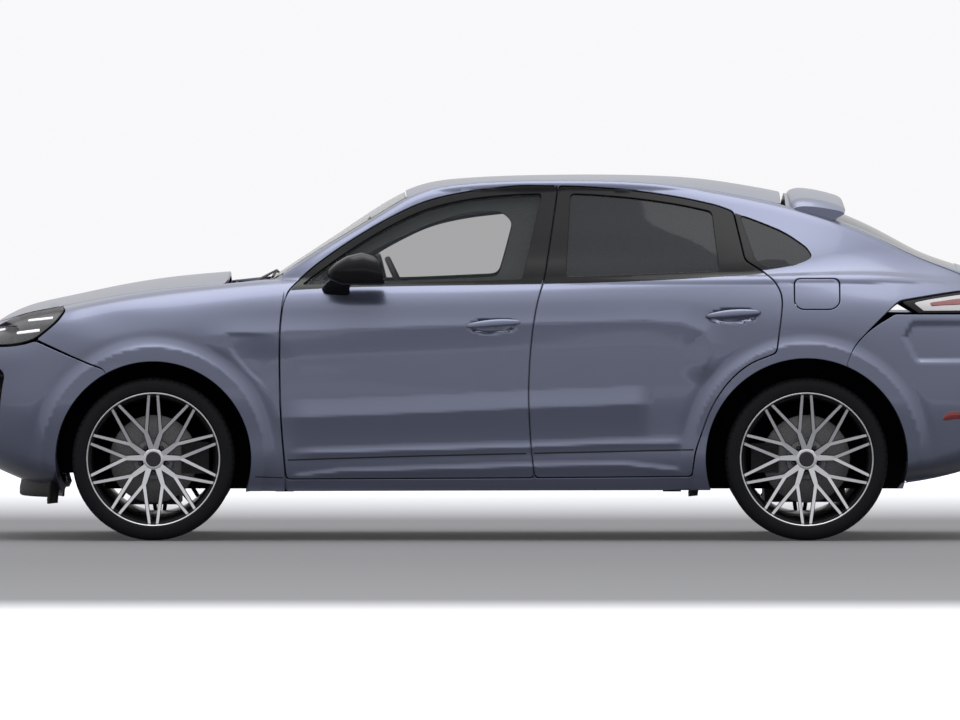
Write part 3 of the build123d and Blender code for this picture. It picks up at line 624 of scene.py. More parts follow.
RED = material("lamp_red", (0.16, 0.006, 0.009), 0.15, coat=0.8, vary=0.2)
LEATHER = material("seat_leather", (0.016, 0.0155, 0.016), 0.5, vary=0.2, scale=500, bump=0.5, gloss=0.35)
TRIM = material("cabin_trim", (0.014, 0.014, 0.015), 0.6, vary=0.2, scale=700, bump=0.4, gloss=0.3)
FRAME_TRIM = material("window_frame_trim", (0.055, 0.057, 0.062), 0.7, vary=0.1, scale=700, gloss=0.2)
SCREEN_GLASS = material("cabin_screen", (0.004, 0.004, 0.006), 0.08, vary=0.1, gloss=0.5)
LINING = material("roof_lining", (0.060, 0.060, 0.060), 0.9, vary=0.1, scale=900, bump=0.3, gloss=0.1)

# Side view outlines
FRONT_DOOR = [(-979, 1106), (-1001, 1054), (-1013, 963), (-1017, 826), (-1013, 597), (-1005, 461),
              (-988, 276), (104, 282), (88, 414), (76, 645), (84, 826), (102, 980), (120, 1072), (150, 1166),
              (198, 1482), (209, 1566), (46, 1568), (-20, 1562), (-202, 1541), (-383, 1500), (-567, 1410),
              (-750, 1297), (-889, 1196)]
REAR_DOOR = [(114, 282), (98, 414), (86, 645), (94, 826), (112, 980), (130, 1072), (160, 1166), (208, 1482),
             (219, 1566), (355, 1562), (561, 1546), (767, 1515), (922, 1480), (990, 1454), (1040, 1240),
             (1126, 1186), (1170, 1150), (1199, 1098), (1204, 1052), (1195, 963), (1177, 835), (1054, 788),
             (962, 707), (888, 595), (839, 459), (817, 394), (803, 288)]
# Outer edge of the black window surround
WINDOWS = [(-979, 1106), (-960, 1124), (-750, 1136), (-400, 1143), (146, 1150), (665, 1166), (1126, 1196),
           (1280, 1222), (1345, 1254), (1322, 1298), (1228, 1366), (1076, 1428), (922, 1473), (767, 1508),
           (561, 1539), (355, 1556), (46, 1561), (-20, 1560), (-202, 1533), (-383, 1492), (-567, 1401),
           (-750, 1287), (-889, 1182)]
FRONT_GLASS = [(-925, 1133), (-889, 1160), (-750, 1262), (-567, 1378), (-383, 1468), (-202, 1512),
               (-20, 1532), (143, 1538), (54, 1160)]
REAR_GLASS = [(270, 1537), (355, 1534), (561, 1518), (767, 1487), (897, 1458), (928, 1196), (248, 1170)]
QUARTER_GLASS = [(1022, 1442), (1076, 1424), (1228, 1362), (1320, 1296), (1343, 1256), (1280, 1226),
                 (1138, 1214), (1090, 1246)]
# Charge flap on the left, fuel flap on the right
FLAP = [(1263, 1160), (1460, 1160), (1460, 1050), (1430, 1027), (1290, 1027), (1263, 1050)]
# Half the hood from above
HOOD = [(-2345, 0), (-2345, 500), (-2250, 610), (-2000, 690), (-1600, 738), (-1268, 772), (-1252, 600),
        (-1248, 0)]
# Growth of the door outlines for the skins, the openings in the side and the jambs behind them, millimetres
SKIN_GROW, OPENING_GROW, JAMB_GROW, JAMB_HOLE = 1.5, 6.5, 14, -70


def shifted(points, amount):
    """The polygon moved outwards by an amount in millimetres, corners mitred."""
    pts = np.array(points, float)
    turn = 1 if area(pts) > 0 else -1
    out = []
    for i, p in enumerate(pts):
        u, v = p - pts[i - 1], pts[(i + 1) % len(pts)] - p
        nu = np.array([u[1], -u[0]]) / np.linalg.norm(u) * turn
        nv = np.array([v[1], -v[0]]) / np.linalg.norm(v) * turn
        mid = nu + nv
        out.append(tuple(p + mid * amount / max(0.35, (mid @ mid) / 2)))
    return out


def arc(x, r, from_deg, to_deg, count=40):
    """Side view points of a wheel opening, angles from the rear over the top."""
    return [(x * 1000 + r * 1000 * cos(radians(a)), WHEEL_Z * 1000 + r * 1000 * sin(radians(a)))
            for a in np.linspace(from_deg, to_deg, count)]


def edge_path(points, look=None, radius=0.012, closed=False):
    """Millimetre points of one edge lifted to the skin in the look they are given in."""
    look = look or SIDE
    pts = resample(rounded(mm(points), radius, closed), STEP * 0.8, closed)
    return look.lift(to_look(pts, look))


def joined(*paths):
    """One closed loop from paths of skin points, without points that nearly coincide."""
    pts = np.vstack(paths)
    keep = np.linalg.norm(np.diff(np.vstack([pts, pts[:1]]), axis=0), axis=1) > 0.002
    return pts[keep]


def door_depth(x_front):
    """Wall of a door, thin at its front edge where it swings past the hinges."""
    def wall(p):
        low = 1 - ramp(p[:, 2], 1.08, 1.14)
        return 0.030 + low * (0.034 * ramp(p[:, 0], x_front, x_front + 0.09))
    return wall


def along(path):
    """Unit directions along a path of points."""
    t = np.gradient(path, axis=0)
    return t / (np.linalg.norm(t, axis=1)[:, None] + 1e-12)


def band(name, path, width, lift, look, body, slot, sides=(LEFT, RIGHT), taper=0.0):
    """A raised strip on the skin along a path of skin points, its ends drawn in where it tapers."""
    path = np.array(path)
    n, t = normals(path), along(path)
    b = np.cross(t, n)
    b /= np.linalg.norm(b, axis=1)[:, None]
    run = np.concatenate([[0], np.cumsum(np.linalg.norm(np.diff(path, axis=0), axis=1))])
    near = np.minimum(run, run[-1] - run)
    half = (width(path) if callable(width) else np.full(len(path), width)) / 2
    if taper:
        half = half * np.sqrt(np.clip(near / taper, 0.02, 1))
    edge = np.minimum(half * 0.5, 0.002)
    rings = [np.stack([p - c * h - m * 0.003, p - c * h + m * (lift - e * 0.5), p - c * (h - e) + m * lift,
                       p + c * (h - e) + m * lift, p + c * h + m * (lift - e * 0.5), p + c * h - m * 0.003])
             for p, m, c, h, e in zip(path, n, b, half, edge)]
    v, f = skin_of_rings(rings)
    for side in sides:
        piece, carrier = on_side(name, body, side, sides)
        solid(piece, v, f, look, carrier, slot=slot, side=side, crisp=30)


def tube(name, points, radius, look, body, slot, side=RIGHT, count=12, flat=1.0):
    """A round or flattened rod through points, its radius given once or point by point."""
    pts = np.array(points, float)
    t = along(pts)
    up = np.array([0, 0, 1.0]) if abs(t[0][2]) < 0.9 else np.array([1.0, 0, 0])
    sizes = np.broadcast_to(radius, len(pts))
    rings = []
    for p, d, r in zip(pts, t, sizes):
        a = np.cross(d, up)
        a /= np.linalg.norm(a)
        c = np.cross(a, d)
        rings.append([p + a * r * cos(2 * pi * k / count) + c * r * flat * sin(2 * pi * k / count)
                      for k in range(count)])
    v, f = skin_of_rings(rings)
    return solid(name, v, f, look, body, slot=slot, side=side, crisp=50)


def doors():
    """Painted doors with their panes, the trim inside the front windows, and a thin black strip low on the
    skin that is painted shade under the door's lower lip.
    """
    for name, points, glass, x_front in (("front_door", FRONT_DOOR, FRONT_GLASS, -1.017),
                                         ("rear_door", REAR_DOOR, REAR_GLASS, 0.086)):
        panel(name + "_skin", outline(shifted(points, SKIN_GROW), 0.02), name, (PAINT, PAINT, TRIM, BLACK),
              holes=[outline(glass, 0.02)], thick=door_depth(x_front),
              zones=[outline(shifted(WINDOWS, 14), 0.03)], replaces=[name + "_left", name + "_right"])
        panel(name + "_pane", outline(shifted(glass, 4), 0.02), name,
              (CLEAR if name == "front_door" else TINTED,) * 3, sink=0.008, flange=0.004, edge=0.001,
              spacing=(3, 3), slot="tinted_glass", replaces=[name + "_glass_left", name + "_glass_right"])
    opening = [(-52, 1188), (-16, 1308), (14, 1428), (-37, 1476), (-149, 1474), (-228, 1460), (-308, 1435),
               (-388, 1407), (-468, 1368), (-548, 1331), (-632, 1286), (-760, 1216), (-850, 1168),
               (-500, 1164)]
    panel("window_frame_inner", outline(shifted(FRONT_GLASS, 10), 0.02), "front_door", (FRAME_TRIM,) * 3,
          holes=[outline(opening, 0.035)], sink=0.034, thick=0.004, slot="cabin", spacing=(2, 2))
    # Painted shade: thin black strips along the shadow under the lip low on each door
    for name, line in (("front_door", [(-984, 358), (-500, 374), (72, 387)]),
                       ("rear_door", [(106, 388), (500, 397), (812, 404)])):
        band(name + "_painted_shade_strip", edge_path(line), 0.007, 0.001, PLASTIC, name, "black_trim")


def under_wing(p):
    """Depth of the body side's front edge, which passes under the fender."""
    return 0.022 * (1 - ramp(p[:, 0], -0.998, -0.985)) * (1 - ramp(p[:, 2], 1.085, 1.110))


def behind_door(p):
    """Depth of the jambs below the skin."""
    return 0.056 + 0.036 * (1 - ramp(p[:, 2], 1.08, 1.14))


def body_side():
    """Sill, pillars, cant rail and rear quarter in one pressing, with the two door openings."""
    door_f, door_r = shifted(FRONT_DOOR, OPENING_GROW), shifted(REAR_DOOR, OPENING_GROW)
    roof_side = [(-1006, 672), (-968, 700), (-750, 672), (-567, 636), (-468, 607), (-200, 579), (300, 565),
                 (900, 561), (1212, 566), (1222, 571), (1500, 599), (1851, 645), (2000, 664)]
    top = edge_path(roof_side[::-1], TOP)
    low = [(-1024, 1100), (-1030, 963), (-1033, 826), (-1029, 597), (-1021, 461), (-1004, 300), (-996, 219),
           (700, 222)]
    arch = arc(X_REAR, ARCH_R, 198, 67)
    tail = [(1522, 862), (1594, 938), (1706, 1048), (1730, 1066), (1860, 1088), (2010, 1111), (2150, 1113)]
    gate_side = [(2170, 634), (2060, 677), (2000, 669)]
    loop = joined(edge_path(low), edge_path(arch), edge_path([arch[-1]] + tail), edge_path(gate_side, TOP),
                  top)
    flap = outline(shifted(FLAP, 4), 0.03)
    holes = [outline(door_f, 0.02), outline(door_r, 0.02), outline(QUARTER_GLASS, 0.02), flap]
    panel("body_side", loop, "body", (PAINT, PAINT, TRIM, BLACK), holes=holes, zones=[outline(WINDOWS, 0.03)],
          look=Look(12), thick=0.018, sink=under_wing, replaces=["body_sides"])
    band("sill_line_front", edge_path([(-1128, 284), (-1004, 279)]), 0.005, 0.001, PLASTIC, "body",
         "black_trim")


def quarter_windows():
    panel("quarter_window", outline(shifted(QUARTER_GLASS, 3), 0.02), "body", (TINTED,) * 3, sink=0.006,
          flange=0.004, edge=0.001, spacing=(3, 3), slot="tinted_glass", replaces=["quarter_windows"])


def jambs():
    """The body behind the doors, seen when they are open."""
    for word, points in (("front", FRONT_DOOR), ("rear", REAR_DOOR)):
        panel("jamb_" + word, outline(shifted(points, JAMB_GROW), 0.03), "body", (PAINT, PAINT, TRIM),
              holes=[outline(shifted(points, JAMB_HOLE), 0.06)], sink=behind_door, thick=0.03, spacing=(2, 2))


def flaps():
    for name, side in (("charge_flap", LEFT), ("fuel_flap", RIGHT)):
        panel(name + "_skin", outline(FLAP, 0.03), name, (PAINT, PAINT, PLASTIC), sides=(side,), thick=0.008,
              replaces=[name])


def fenders():
    """Front wings, from the headlamps to the doors and down behind the wheels."""
    back = [(-1000, 1108), (-1010, 1054), (-1021, 963), (-1025, 826), (-1021, 597), (-1013, 461),
            (-998, 300), (-996, 222)]
    top = edge_path([(-1010, 715), (-1262, 784), (-1600, 747), (-2000, 699), (-2060, 686)], TOP)
    arch = arc(X_FRONT, ARCH_F, -19.5, 119)
    lamp = [arch[-1], (-1804, 764), (-1912, 806), (-2098, 892), (-2043, 936), (-1998, 976), (-1968, 1022),
            (-1990, 1040), (-2040, 1052)]
    loop = joined(top[::-1], edge_path(back), edge_path([(-1003, 219), (-1150, 219)]), edge_path(arch),
                  edge_path(lamp))
    panel("front_fender", loop, "body", (PAINT, PAINT, PAINT), look=Look(40), flange=0.03,
          replaces=["front_fenders"])


# How a panel seen from above is made: one piece across the car
ACROSS = {"look": TOP, "sides": (RIGHT,)}


def mirrored(points):
    """Half an outline from above, with its mirror image."""
    return points + [(x, -y) for x, y in reversed(points) if abs(y) > 1e-6]


def roof():
    half = [(-468, 0), (-460, 598), (-200, 570), (300, 556), (900, 552), (1206, 556), (1206, 0)]
    panel("roof_skin", outline(mirrored(half), 0.02, TOP), "body", (PAINT, PAINT, LINING), thick=0.03,
          spacing=(2, 1.5), replaces=["roof_panel"], **ACROSS)


def windscreen():
    half = [(-1074, 0), (-1072, 400), (-1030, 620), (-960, 706), (-750, 672), (-567, 634), (-468, 606),
            (-476, 0)]
    panel("windscreen_pane", outline(mirrored(half), 0.03, TOP), "body", (CLEAR, BLACK, CLEAR), sink=0.003,
          flange=0.006, edge=0.001, slot="clear_glass", spacing=(2, 2), replaces=["windscreen"], **ACROSS)


def hood():
    panel("hood_skin", outline(mirrored(HOOD), 0.03, TOP), "hood", (PAINT, PAINT, LINER), thick=0.022,
          replaces=["hood"], **ACROSS)


def tailgate():
    """Lid with the rear window, from the roof to the bumper."""
    edge = [(1226, 0), (1226, 562), (1500, 590), (1851, 636), (2060, 668), (2160, 634)]
    glass = [(1330, 0), (1330, 520), (1600, 548), (1820, 585), (1960, 590), (1990, 560), (1990, 0)]
    face = [(630, 1110), (622, 1000), (606, 900), (590, 872), (0, 872)]
    whole = both_sides(np.vstack([edge_path(edge, TOP), edge_path(face, REAR)]))
    pane = outline(mirrored(glass), 0.03, TOP)
    panel("tailgate_skin", whole, "tailgate", (PAINT, PAINT, TRIM), holes=[pane],
          thick=0.03, look=GATE_LOOK, sides=(RIGHT,), replaces=["tailgate", "tail_light_bar"])
    panel("rear_pane", pane, "tailgate", (TINTED, BLACK, TINTED), sink=0.003, flange=0.005,
          edge=0.001, slot="tinted_glass", spacing=(2, 2), replaces=["rear_glass"], **ACROSS)


# Openings of the front bumper in the front view, y and z, and what fills them
GRILLE = [(-400, 600), (-435, 690), (-420, 775), (-380, 800), (380, 800), (420, 775), (435, 690), (400, 600)]
INTAKE = [(-440, 395), (-480, 470), (-455, 535), (-420, 548), (420, 548), (455, 535), (480, 470), (440, 395)]
SIDE_INTAKE = [(600, 470), (585, 560), (640, 730), (700, 770), (840, 775), (868, 740), (855, 500), (820, 478)]


def bar(points, section, look):
    """Points and faces of a bar of one section along points of the front or rear view."""
    line = look.lift(to_look(np.array(points), look))
    return skin_of_rings([[p + np.array(q) for q in section] for p in line])


def level(half, z, count):
    """Points at one height across the car."""
    return [(y, z) for y in np.linspace(-half, half, count)]


def grille_bars():
    """Slats across the openings of the front bumper, and upright bars in the lower one."""
    for k, z in enumerate(np.linspace(0.628, 0.775, 5)):
        section = ((0.012, 0, -0.005), (0.012, 0, 0.007), (0.034, 0, 0.003), (0.034, 0, -0.005))
        v, f = bar(level(0.405 + 0.03 * sin(pi * (z - 0.6) / 0.2), z, 41), section, FRONT)
        solid(f"grille_slat_{k}", v, f, BLACK, "body", slot="gloss_black", bevel=0.0015)
    for k, z in enumerate(np.linspace(0.425, 0.525, 4)):
        section = ((0.022, 0, -0.003), (0.022, 0, 0.004), (0.046, 0, 0.004), (0.046, 0, -0.003))
        v, f = bar(level(0.46, z, 41), section, FRONT)
        solid(f"intake_slat_{k}", v, f, PLASTIC, "body", slot="black_trim")
    verts, faces = [], []
    for y in np.linspace(-0.44, 0.44, 23):
        section = ((0.026, -0.002, 0), (0.026, 0.002, 0), (0.046, 0.002, 0), (0.046, -0.002, 0))
        v, f = bar([(y, z) for z in np.linspace(0.405, 0.540, 6)], section, FRONT)
        faces += [tuple(i + len(verts) for i in q) for q in f]
        verts += v
    solid("intake_mesh", verts, faces, PLASTIC, "body", slot="black_trim")
    for k, z in enumerate(np.linspace(0.53, 0.73, 4)):
        section = ((0.014, 0, -0.004), (0.014, 0, 0.005), (0.036, 0, 0.003), (0.036, 0, -0.004))
        v, f = bar([(y, z) for y in np.linspace(0.60, 0.845, 13)], section, FRONT)
        for side, word in ENDING.items():
            solid(f"side_slat_{k}" + word, v, f, BLACK, "body", slot="gloss_black", side=side)


def front_lip():
    """Black lip under the nose."""
    rings = []
    for y in np.linspace(-0.80, 0.80, 41):
        x = -2.175 + 0.15 * (abs(y) / 0.8)**3
        rings.append([(x, y, 0.300), (x - 0.016, y, 0.225), (x - 0.016, y, 0.196), (x - 0.010, y, 0.190),
                      (x - 0.004, y, 0.196), (x + 0.004, y, 0.240), (x + 0.012, y, 0.300)])
    solid("front_lip", *skin_of_rings(rings), PLASTIC, "body", slot="black_trim", crisp=50)


def wheel_flaps():
    """Small air flaps ahead of the wheels."""
    # Name, x, low and high z, inner and outer y
    table = (("front_flap", -2.004, 0.163, 0.245, 0.70, 0.905),
             ("rear_flap", 0.838, 0.196, 0.235, 0.72, 0.90))
    for side, word in ENDING.items():
        for name, front, z0, z1, y0, y1 in table:
            rings = []
            for k, y in enumerate(np.linspace(y0, y1, 7)):
                x = front - 0.006 * k
                rings.append([(x, y, z1 + 0.02), (x - 0.012, y, z0 + 0.02), (x - 0.011, y, z0),
                              (x - 0.004, y, z0), (x + 0.005, y, z1 + 0.02)])
            solid(name + word, *skin_of_rings(rings), PLASTIC, "body", slot="black_trim", side=side, crisp=50)


def cowl_and_wipers():
    """Grille under the windscreen, with an arm and a blade on each side."""
    cowl = [(-1212, -690), (-1218, -400), (-1220, 0), (-1218, 400), (-1212, 690), (-1068, 640), (-1080, 400),
            (-1084, 0), (-1080, -400), (-1068, -640)]
    panel("cowl_cover", outline(cowl, 0.02, TOP), "body", (PLASTIC,) * 3, thick=0.004, spacing=(1.5, 2),
          slot="black_trim", **ACROSS)
    for word, y0, y1 in (("left", -0.62, -0.06), ("right", 0.02, 0.56)):
        sweep = np.stack([np.linspace(-1.050, -1.035, 21), np.linspace(y0 + 0.05, y1, 21)], 1)
        glass = TOP.lift(to_look(sweep, TOP))
        glass += normals(glass) * 0.008
        tube("wiper_blade_" + word, glass, 0.006, PLASTIC, "body", "black_trim", flat=0.8)
        arm = [(-1.165, y0, 1.118), (-1.150, y0 + 0.03, 1.132), (-1.100, y0 + 0.16, 1.160),
               tuple(glass[11] + (0, 0, 0.008))]
        tube("wiper_arm_" + word, arm, [0.012, 0.010, 0.007, 0.005], PLASTIC, "body", "black_trim", flat=0.7)


def both_sides(half):
    """A closed loop from the right half of an edge."""
    return joined(half, half[::-1] * (1, -1, 1))


def front_bumper():
    """Bumper with its openings and the dark backs behind them."""
    lower = edge_path([(0, 345), (500, 338), (640, 330)], FRONT)
    corner = edge_path([(-2281, 310), (-2174, 262), (-2020, 205), (-1985, 205)])
    arch = edge_path(arc(X_FRONT, ARCH_F, 201, 119))
    split = edge_path([(-1804, 758), (-1912, 799), (-2106, 884), (-2148, 870), (-2206, 860), (-2300, 856)])
    lamp = edge_path([(790, 854), (520, 862), (482, 880), (478, 915), (478, 940)], FRONT)
    lid = edge_path([(-2354, 470), (-2354, 0)], TOP)
    loop = both_sides(np.vstack([lower, corner, arch, split, lamp, lid]))
    holes = [outline(GRILLE, 0.04, FRONT), outline(INTAKE, 0.04, FRONT)]
    mouth = outline(SIDE_INTAKE, 0.05, FRONT)
    holes += [mouth, mouth[::-1] * (1, -1, 1)]
    panel("front_bumper_skin", loop, "body", (PAINT, PAINT, PAINT), holes=holes, look=NOSE_ROUND,
          sides=(RIGHT,), flange=0.03, replaces=["front_bumper", "grille"])
    for word, points, depth in (("grille", GRILLE, 0.035), ("lower_intake", INTAKE, 0.05)):
        panel(word + "_back", outline(shifted(points, 6), 0.04, FRONT), "body", (LINER, LINER, LINER),
              look=FRONT, sides=(RIGHT,), sink=depth, spacing=(3, 3), slot="black_trim")
    panel("side_intake_back", outline(shifted(SIDE_INTAKE, 6), 0.05, FRONT), "body", (LINER, LINER, LINER),
          look=NOSE_ROUND, sink=0.04, spacing=(3, 3), slot="black_trim")


def headlamps():
    """Clear covers over dark housings, with four light bars on each side."""
    side_edge = edge_path([(-2300, 866), (-2206, 870), (-2148, 881), (-2104, 898), (-2052, 938), (-2008, 977),
                           (-1977, 1024), (-1996, 1036), (-2060, 1024), (-2150, 1006), (-2281, 962)])
    front_edge = edge_path([(800, 950), (640, 940), (500, 925), (487, 880), (520, 868), (790, 864)], FRONT)
    lamp_loop = joined(side_edge, front_edge)
    panel("headlamp_cover", lamp_loop, "body", (LAMP_CLEAR, BLACK, LAMP_CLEAR), look=NOSE_ROUND, flange=0.03,
          spacing=(2, 1.5), slot="lamp", replaces=["headlamps"])
    panel("headlamp_back", lamp_loop, "body", (SMOKE, BLACK, BLACK), look=NOSE_ROUND, sink=0.02,
          spacing=(2, 2), slot="gloss_black")
    bars = (edge_path([(-2138, 984), (-2030, 996)]), edge_path([(-2190, 926), (-2090, 937)]),
            edge_path([(735, 944), (600, 932)], FRONT), edge_path([(735, 903), (600, 892)], FRONT))
    for k, line in enumerate(bars):
        band(f"headlamp_bar_{k}", line - normals(line) * 0.010, 0.011, 0.003, LED, "body", "lamp")
    band("headlamp_rim", np.vstack([lamp_loop, lamp_loop[:2]]), 0.005, 0.0015, BLACK, "body", "gloss_black")


def rear_bumper():
    arch = edge_path(arc(X_REAR, ARCH_R, 67, -17))
    low = edge_path([(1728, 232), (1740, 250), (1851, 266), (1972, 291), (2050, 318)])
    under = edge_path([(700, 400), (560, 420), (0, 420)], REAR)
    split = edge_path([(1710, 1003), (1707, 1003), (1595, 934), (1524, 858), (1490, 776)])
    gate_edge = edge_path([(0, 863), (596, 863), (616, 892), (630, 960), (640, 1003), (760, 1003)], REAR)
    side_band = edge_path([(2150, 1003), (1710, 1003)])
    loop = both_sides(np.vstack([under[::-1], low[::-1], arch[::-1], split[::-1], side_band[::-1],
                                 gate_edge[::-1]]))
    panel("rear_bumper_skin", loop, "body", (PAINT, PAINT, PAINT), look=TAIL_ROUND, sides=(RIGHT,),
          flange=0.03, replaces=["rear_bumper"])


def tail_lamps():
    """Black cases round silver lenses, with a red bar in each."""
    upper = edge_path([(1812, 1009), (1736, 1058), (1860, 1080), (2010, 1103), (2140, 1106)])
    inner = edge_path([(690, 1102), (642, 1100), (640, 1012), (700, 1010)], REAR)
    lower_edge = edge_path([(2150, 1009), (1812, 1009)])
    lamp_loop = joined(upper, inner, lower_edge)
    panel("tail_lamp_case", lamp_loop, "body", (BLACK, BLACK, BLACK), look=TAIL_ROUND, flange=0.03,
          spacing=(2, 1), slot="gloss_black", replaces=["tail_lamps"])
    lens = joined(edge_path([(1834, 1018), (1789, 1053), (1860, 1068), (2010, 1090), (2140, 1094)]),
                  edge_path([(690, 1090), (652, 1089), (650, 1023), (700, 1020)], REAR),
                  edge_path([(2150, 1019), (1850, 1018)]))
    panel("tail_lamp_lens", lens, "body", (LENS, LENS, LENS), look=TAIL_ROUND, flange=0.004, sink=-0.002,
          edge=0.001, spacing=(2, 1), slot="tail_lamp")
    red = joined(edge_path([(1872, 1038), (1858, 1052), (2010, 1073), (2140, 1077)]),
                 edge_path([(690, 1076), (656, 1075), (656, 1048), (700, 1046)], REAR),
                 edge_path([(2150, 1045), (2010, 1045)]))
    panel("tail_lamp_bar", red, "body", (RED, BLACK, RED), look=TAIL_ROUND, flange=0.004, sink=-0.005,
          edge=0.0015, spacing=(2, 1), slot="tail_lamp")


def light_bar():
    """Lamp across the tailgate, with the reflectors in the bumper below."""
    centre = {"look": REAR, "sides": (RIGHT,), "flange": 0.004, "spacing": (3, 1)}
    case = [(-618, 1020), (-618, 1092), (618, 1092), (618, 1020)]
    panel("light_bar_case", outline(case, 0.006, REAR), "tailgate", (BLACK,) * 3, sink=-0.002, edge=0.001,
          slot="gloss_black", replaces=["tail_light_bar"], **centre)
    glow = [(-610, 1048), (-610, 1074), (610, 1074), (610, 1048)]
    panel("light_bar_glow", outline(glow, 0.005, REAR), "tailgate", (RED,) * 3, sink=-0.004, edge=0.001,
          slot="tail_lamp", **centre)
    reflector = np.vstack([edge_path([(1918, 537), (1950, 556), (2150, 562)]),
                           edge_path([(770, 562), (610, 562)], REAR)])
    band("rear_reflector", reflector, 0.036, 0.002, RED, "body", "tail_lamp", taper=0.03)


def diffuser():
    """Black insert low in the rear bumper, with upright fins, and one flat exhaust outlet on each side."""
    loop = outline([(-670, 292), (-640, 428), (640, 428), (670, 292)], 0.04, REAR)
    panel("diffuser_face", loop, "body", (PLASTIC,) * 3, look=REAR, sides=(RIGHT,), sink=0.022, thick=0.006,
          spacing=(2, 2), slot="black_trim")
    for k, y in enumerate((-0.27, -0.09, 0.09, 0.27)):
        section = ((-0.020, -0.004, 0), (0.004, -0.003, -0.004), (0.004, 0.003, -0.004), (-0.020, 0.004, 0))
        v, f = bar([(y, z) for z in np.linspace(0.300, 0.420, 9)], section, REAR)
        solid(f"diffuser_fin_{k}", v, f, PLASTIC, "body", slot="black_trim", bevel=0.001)
    for side, word in ENDING.items():
        rings = []
        for x, grow in ((2.170, 0.0), (2.268, 0.0), (2.272, -0.003), (2.270, -0.006), (2.190, -0.008)):
            rings.append(oval_ring((x, 0.500, 0.350), (0, 1, 0), (0, 0, 1), 0.092 + grow, 0.034 + grow,
                                   4.5, 40))
        solid("exhaust_outlet" + word, *skin_of_rings(rings), STEEL, "body", slot="cast", side=side, crisp=50)


def soft_edges(obj, width, segments):
    """Bevels the sharp edges."""
    soft = obj.modifiers.new("soft_edges", "BEVEL")
    soft.width, soft.segments, soft.limit_method, soft.angle_limit = width, segments, "ANGLE", radians(40)
    return soft


def solid(name, verts, faces, materials, body, marks=None, slot=None, side=RIGHT, crisp=35, replaces=(),
          bevel=0.0):
    """A closed form from points and faces, mirrored to the left where side is negative."""
    mesh = bpy.data.meshes.new(name)
    mesh.from_pydata([(x, y * side, z) for x, y, z in verts], [], faces)
    for m in materials if isinstance(materials, (tuple, list)) else (materials,):
        mesh.materials.append(m)
    if marks:
        mesh.polygons.foreach_set("material_index", marks)
    work = bmesh.new()
    work.from_mesh(mesh)
    bmesh.ops.recalc_face_normals(work, faces=work.faces)
    work.to_mesh(mesh)
    work.free()
    mesh.polygons.foreach_set("use_smooth", [True] * len(mesh.polygons))
    mesh.set_sharp_from_angle(angle=radians(crisp))
    obj = bpy.data.objects.new(name, mesh)
    bpy.context.scene.collection.objects.link(obj)
    if bevel:
        soft_edges(obj, bevel, 3).harden_normals = True
    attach(obj, body)
    if replaces:
        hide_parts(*replaces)
    return obj


def skin_of_rings(rings):
    """Points and faces that join rings of equal length and close both ends."""
    count = len(rings[0])
    verts = [tuple(p) for ring in rings for p in ring]
    faces = []
    for k in range(len(rings) - 1):
        for i in range(count):
            j = (i + 1) % count
            faces.append((k * count + i, k * count + j, (k + 1) * count + j, (k + 1) * count + i))
    faces += [tuple(range(count)), tuple(range((len(rings) - 1) * count, len(rings) * count))]
    return verts, faces


def lathe(profile, x, z, y, count=96, dent=None):
    """A profile of radius and outboard distance turned about an axle; dent may lower the radius by angle."""
    verts, faces = [], []
    n = len(profile)
    for i in range(count):
        a = 2 * pi * i / count
        for k, (r, d) in enumerate(profile):
            r = r - (dent(i, k) if dent else 0)
            verts.append((x + r * cos(a), y + d, z + r * sin(a)))
    for i in range(count):
        j = (i + 1) % count
        for k in range(n):
            m = (k + 1) % n
            faces.append((i * n + k, i * n + m, j * n + m, j * n + k))
    return verts, faces


# Tyre section: radius and outboard distance, with four rain grooves
TYRE = [(286, 118), (299, 133), (303, 137), (315, 139.5), (330, 139), (342, 135), (349, 129), (355, 118),
        (358, 106), (359.5, 92), (360, 78), (353, 77), (353, 69), (360.5, 68), (361, 34), (353.5, 33),
        (353.5, 24), (361, 23)]


def tyre(name, x, side, body, node):
    """A tyre turned from its section, with cross cuts in the tread blocks and shoulders."""
    half = [(r / 1000, d / 1000) for r, d in TYRE]
    profile = half + [(r, -d) for r, d in reversed(half)] + [(0.282, -0.112), (0.282, 0.112)]
    shoulder = {k for k, (r, d) in enumerate(profile) if abs(d) > 0.088 and r > 0.350}
    block = {k for k, (r, d) in enumerate(profile) if 0.03 < abs(d) < 0.08 and r > 0.3595}

    def dent(i, k):
        if k in shoulder:
            return 0.005 if i % 6 == 0 else 0.0
        if k in block:
            return 0.004 if i % 6 == 3 else 0.0
        return 0.0

    verts, faces = lathe(profile, x, WHEEL_Z, TRACK, TREAD, dent)
    solid(name, verts, faces, RUBBER, body, slot="tyre", side=side, replaces=[node], crisp=30)


def beam(p0, p1, w0, w1, d0, d1, deep0, deep1):
    """A tapered spoke in wheel coordinates: across, up and outboard; its face comes first."""
    p0, p1 = np.array(p0), np.array(p1)
    t = (p1 - p0) / np.linalg.norm(p1 - p0)
    n = np.array([-t[1], t[0]])
    rings = []
    for p, w, d, deep in ((p0, w0, d0, deep0), (p1, w1, d1, deep1)):
        row = [(-w / 2, 0), (w / 2, 0), (w / 2 + 0.0018, -0.003), (w / 2 + 0.003, -deep),
               (-w / 2 - 0.003, -deep), (-w / 2 - 0.0018, -0.003)]
        rings.append([(*(p + n * a), d + b) for a, b in row])
    verts, faces = skin_of_rings(rings)
    return verts, faces, [0] + [1] * 5 + [1, 1]


def polar(r, deg):
    """Wheel coordinates of a radius and an angle from straight up."""
    return r * sin(radians(deg)), r * cos(radians(deg))


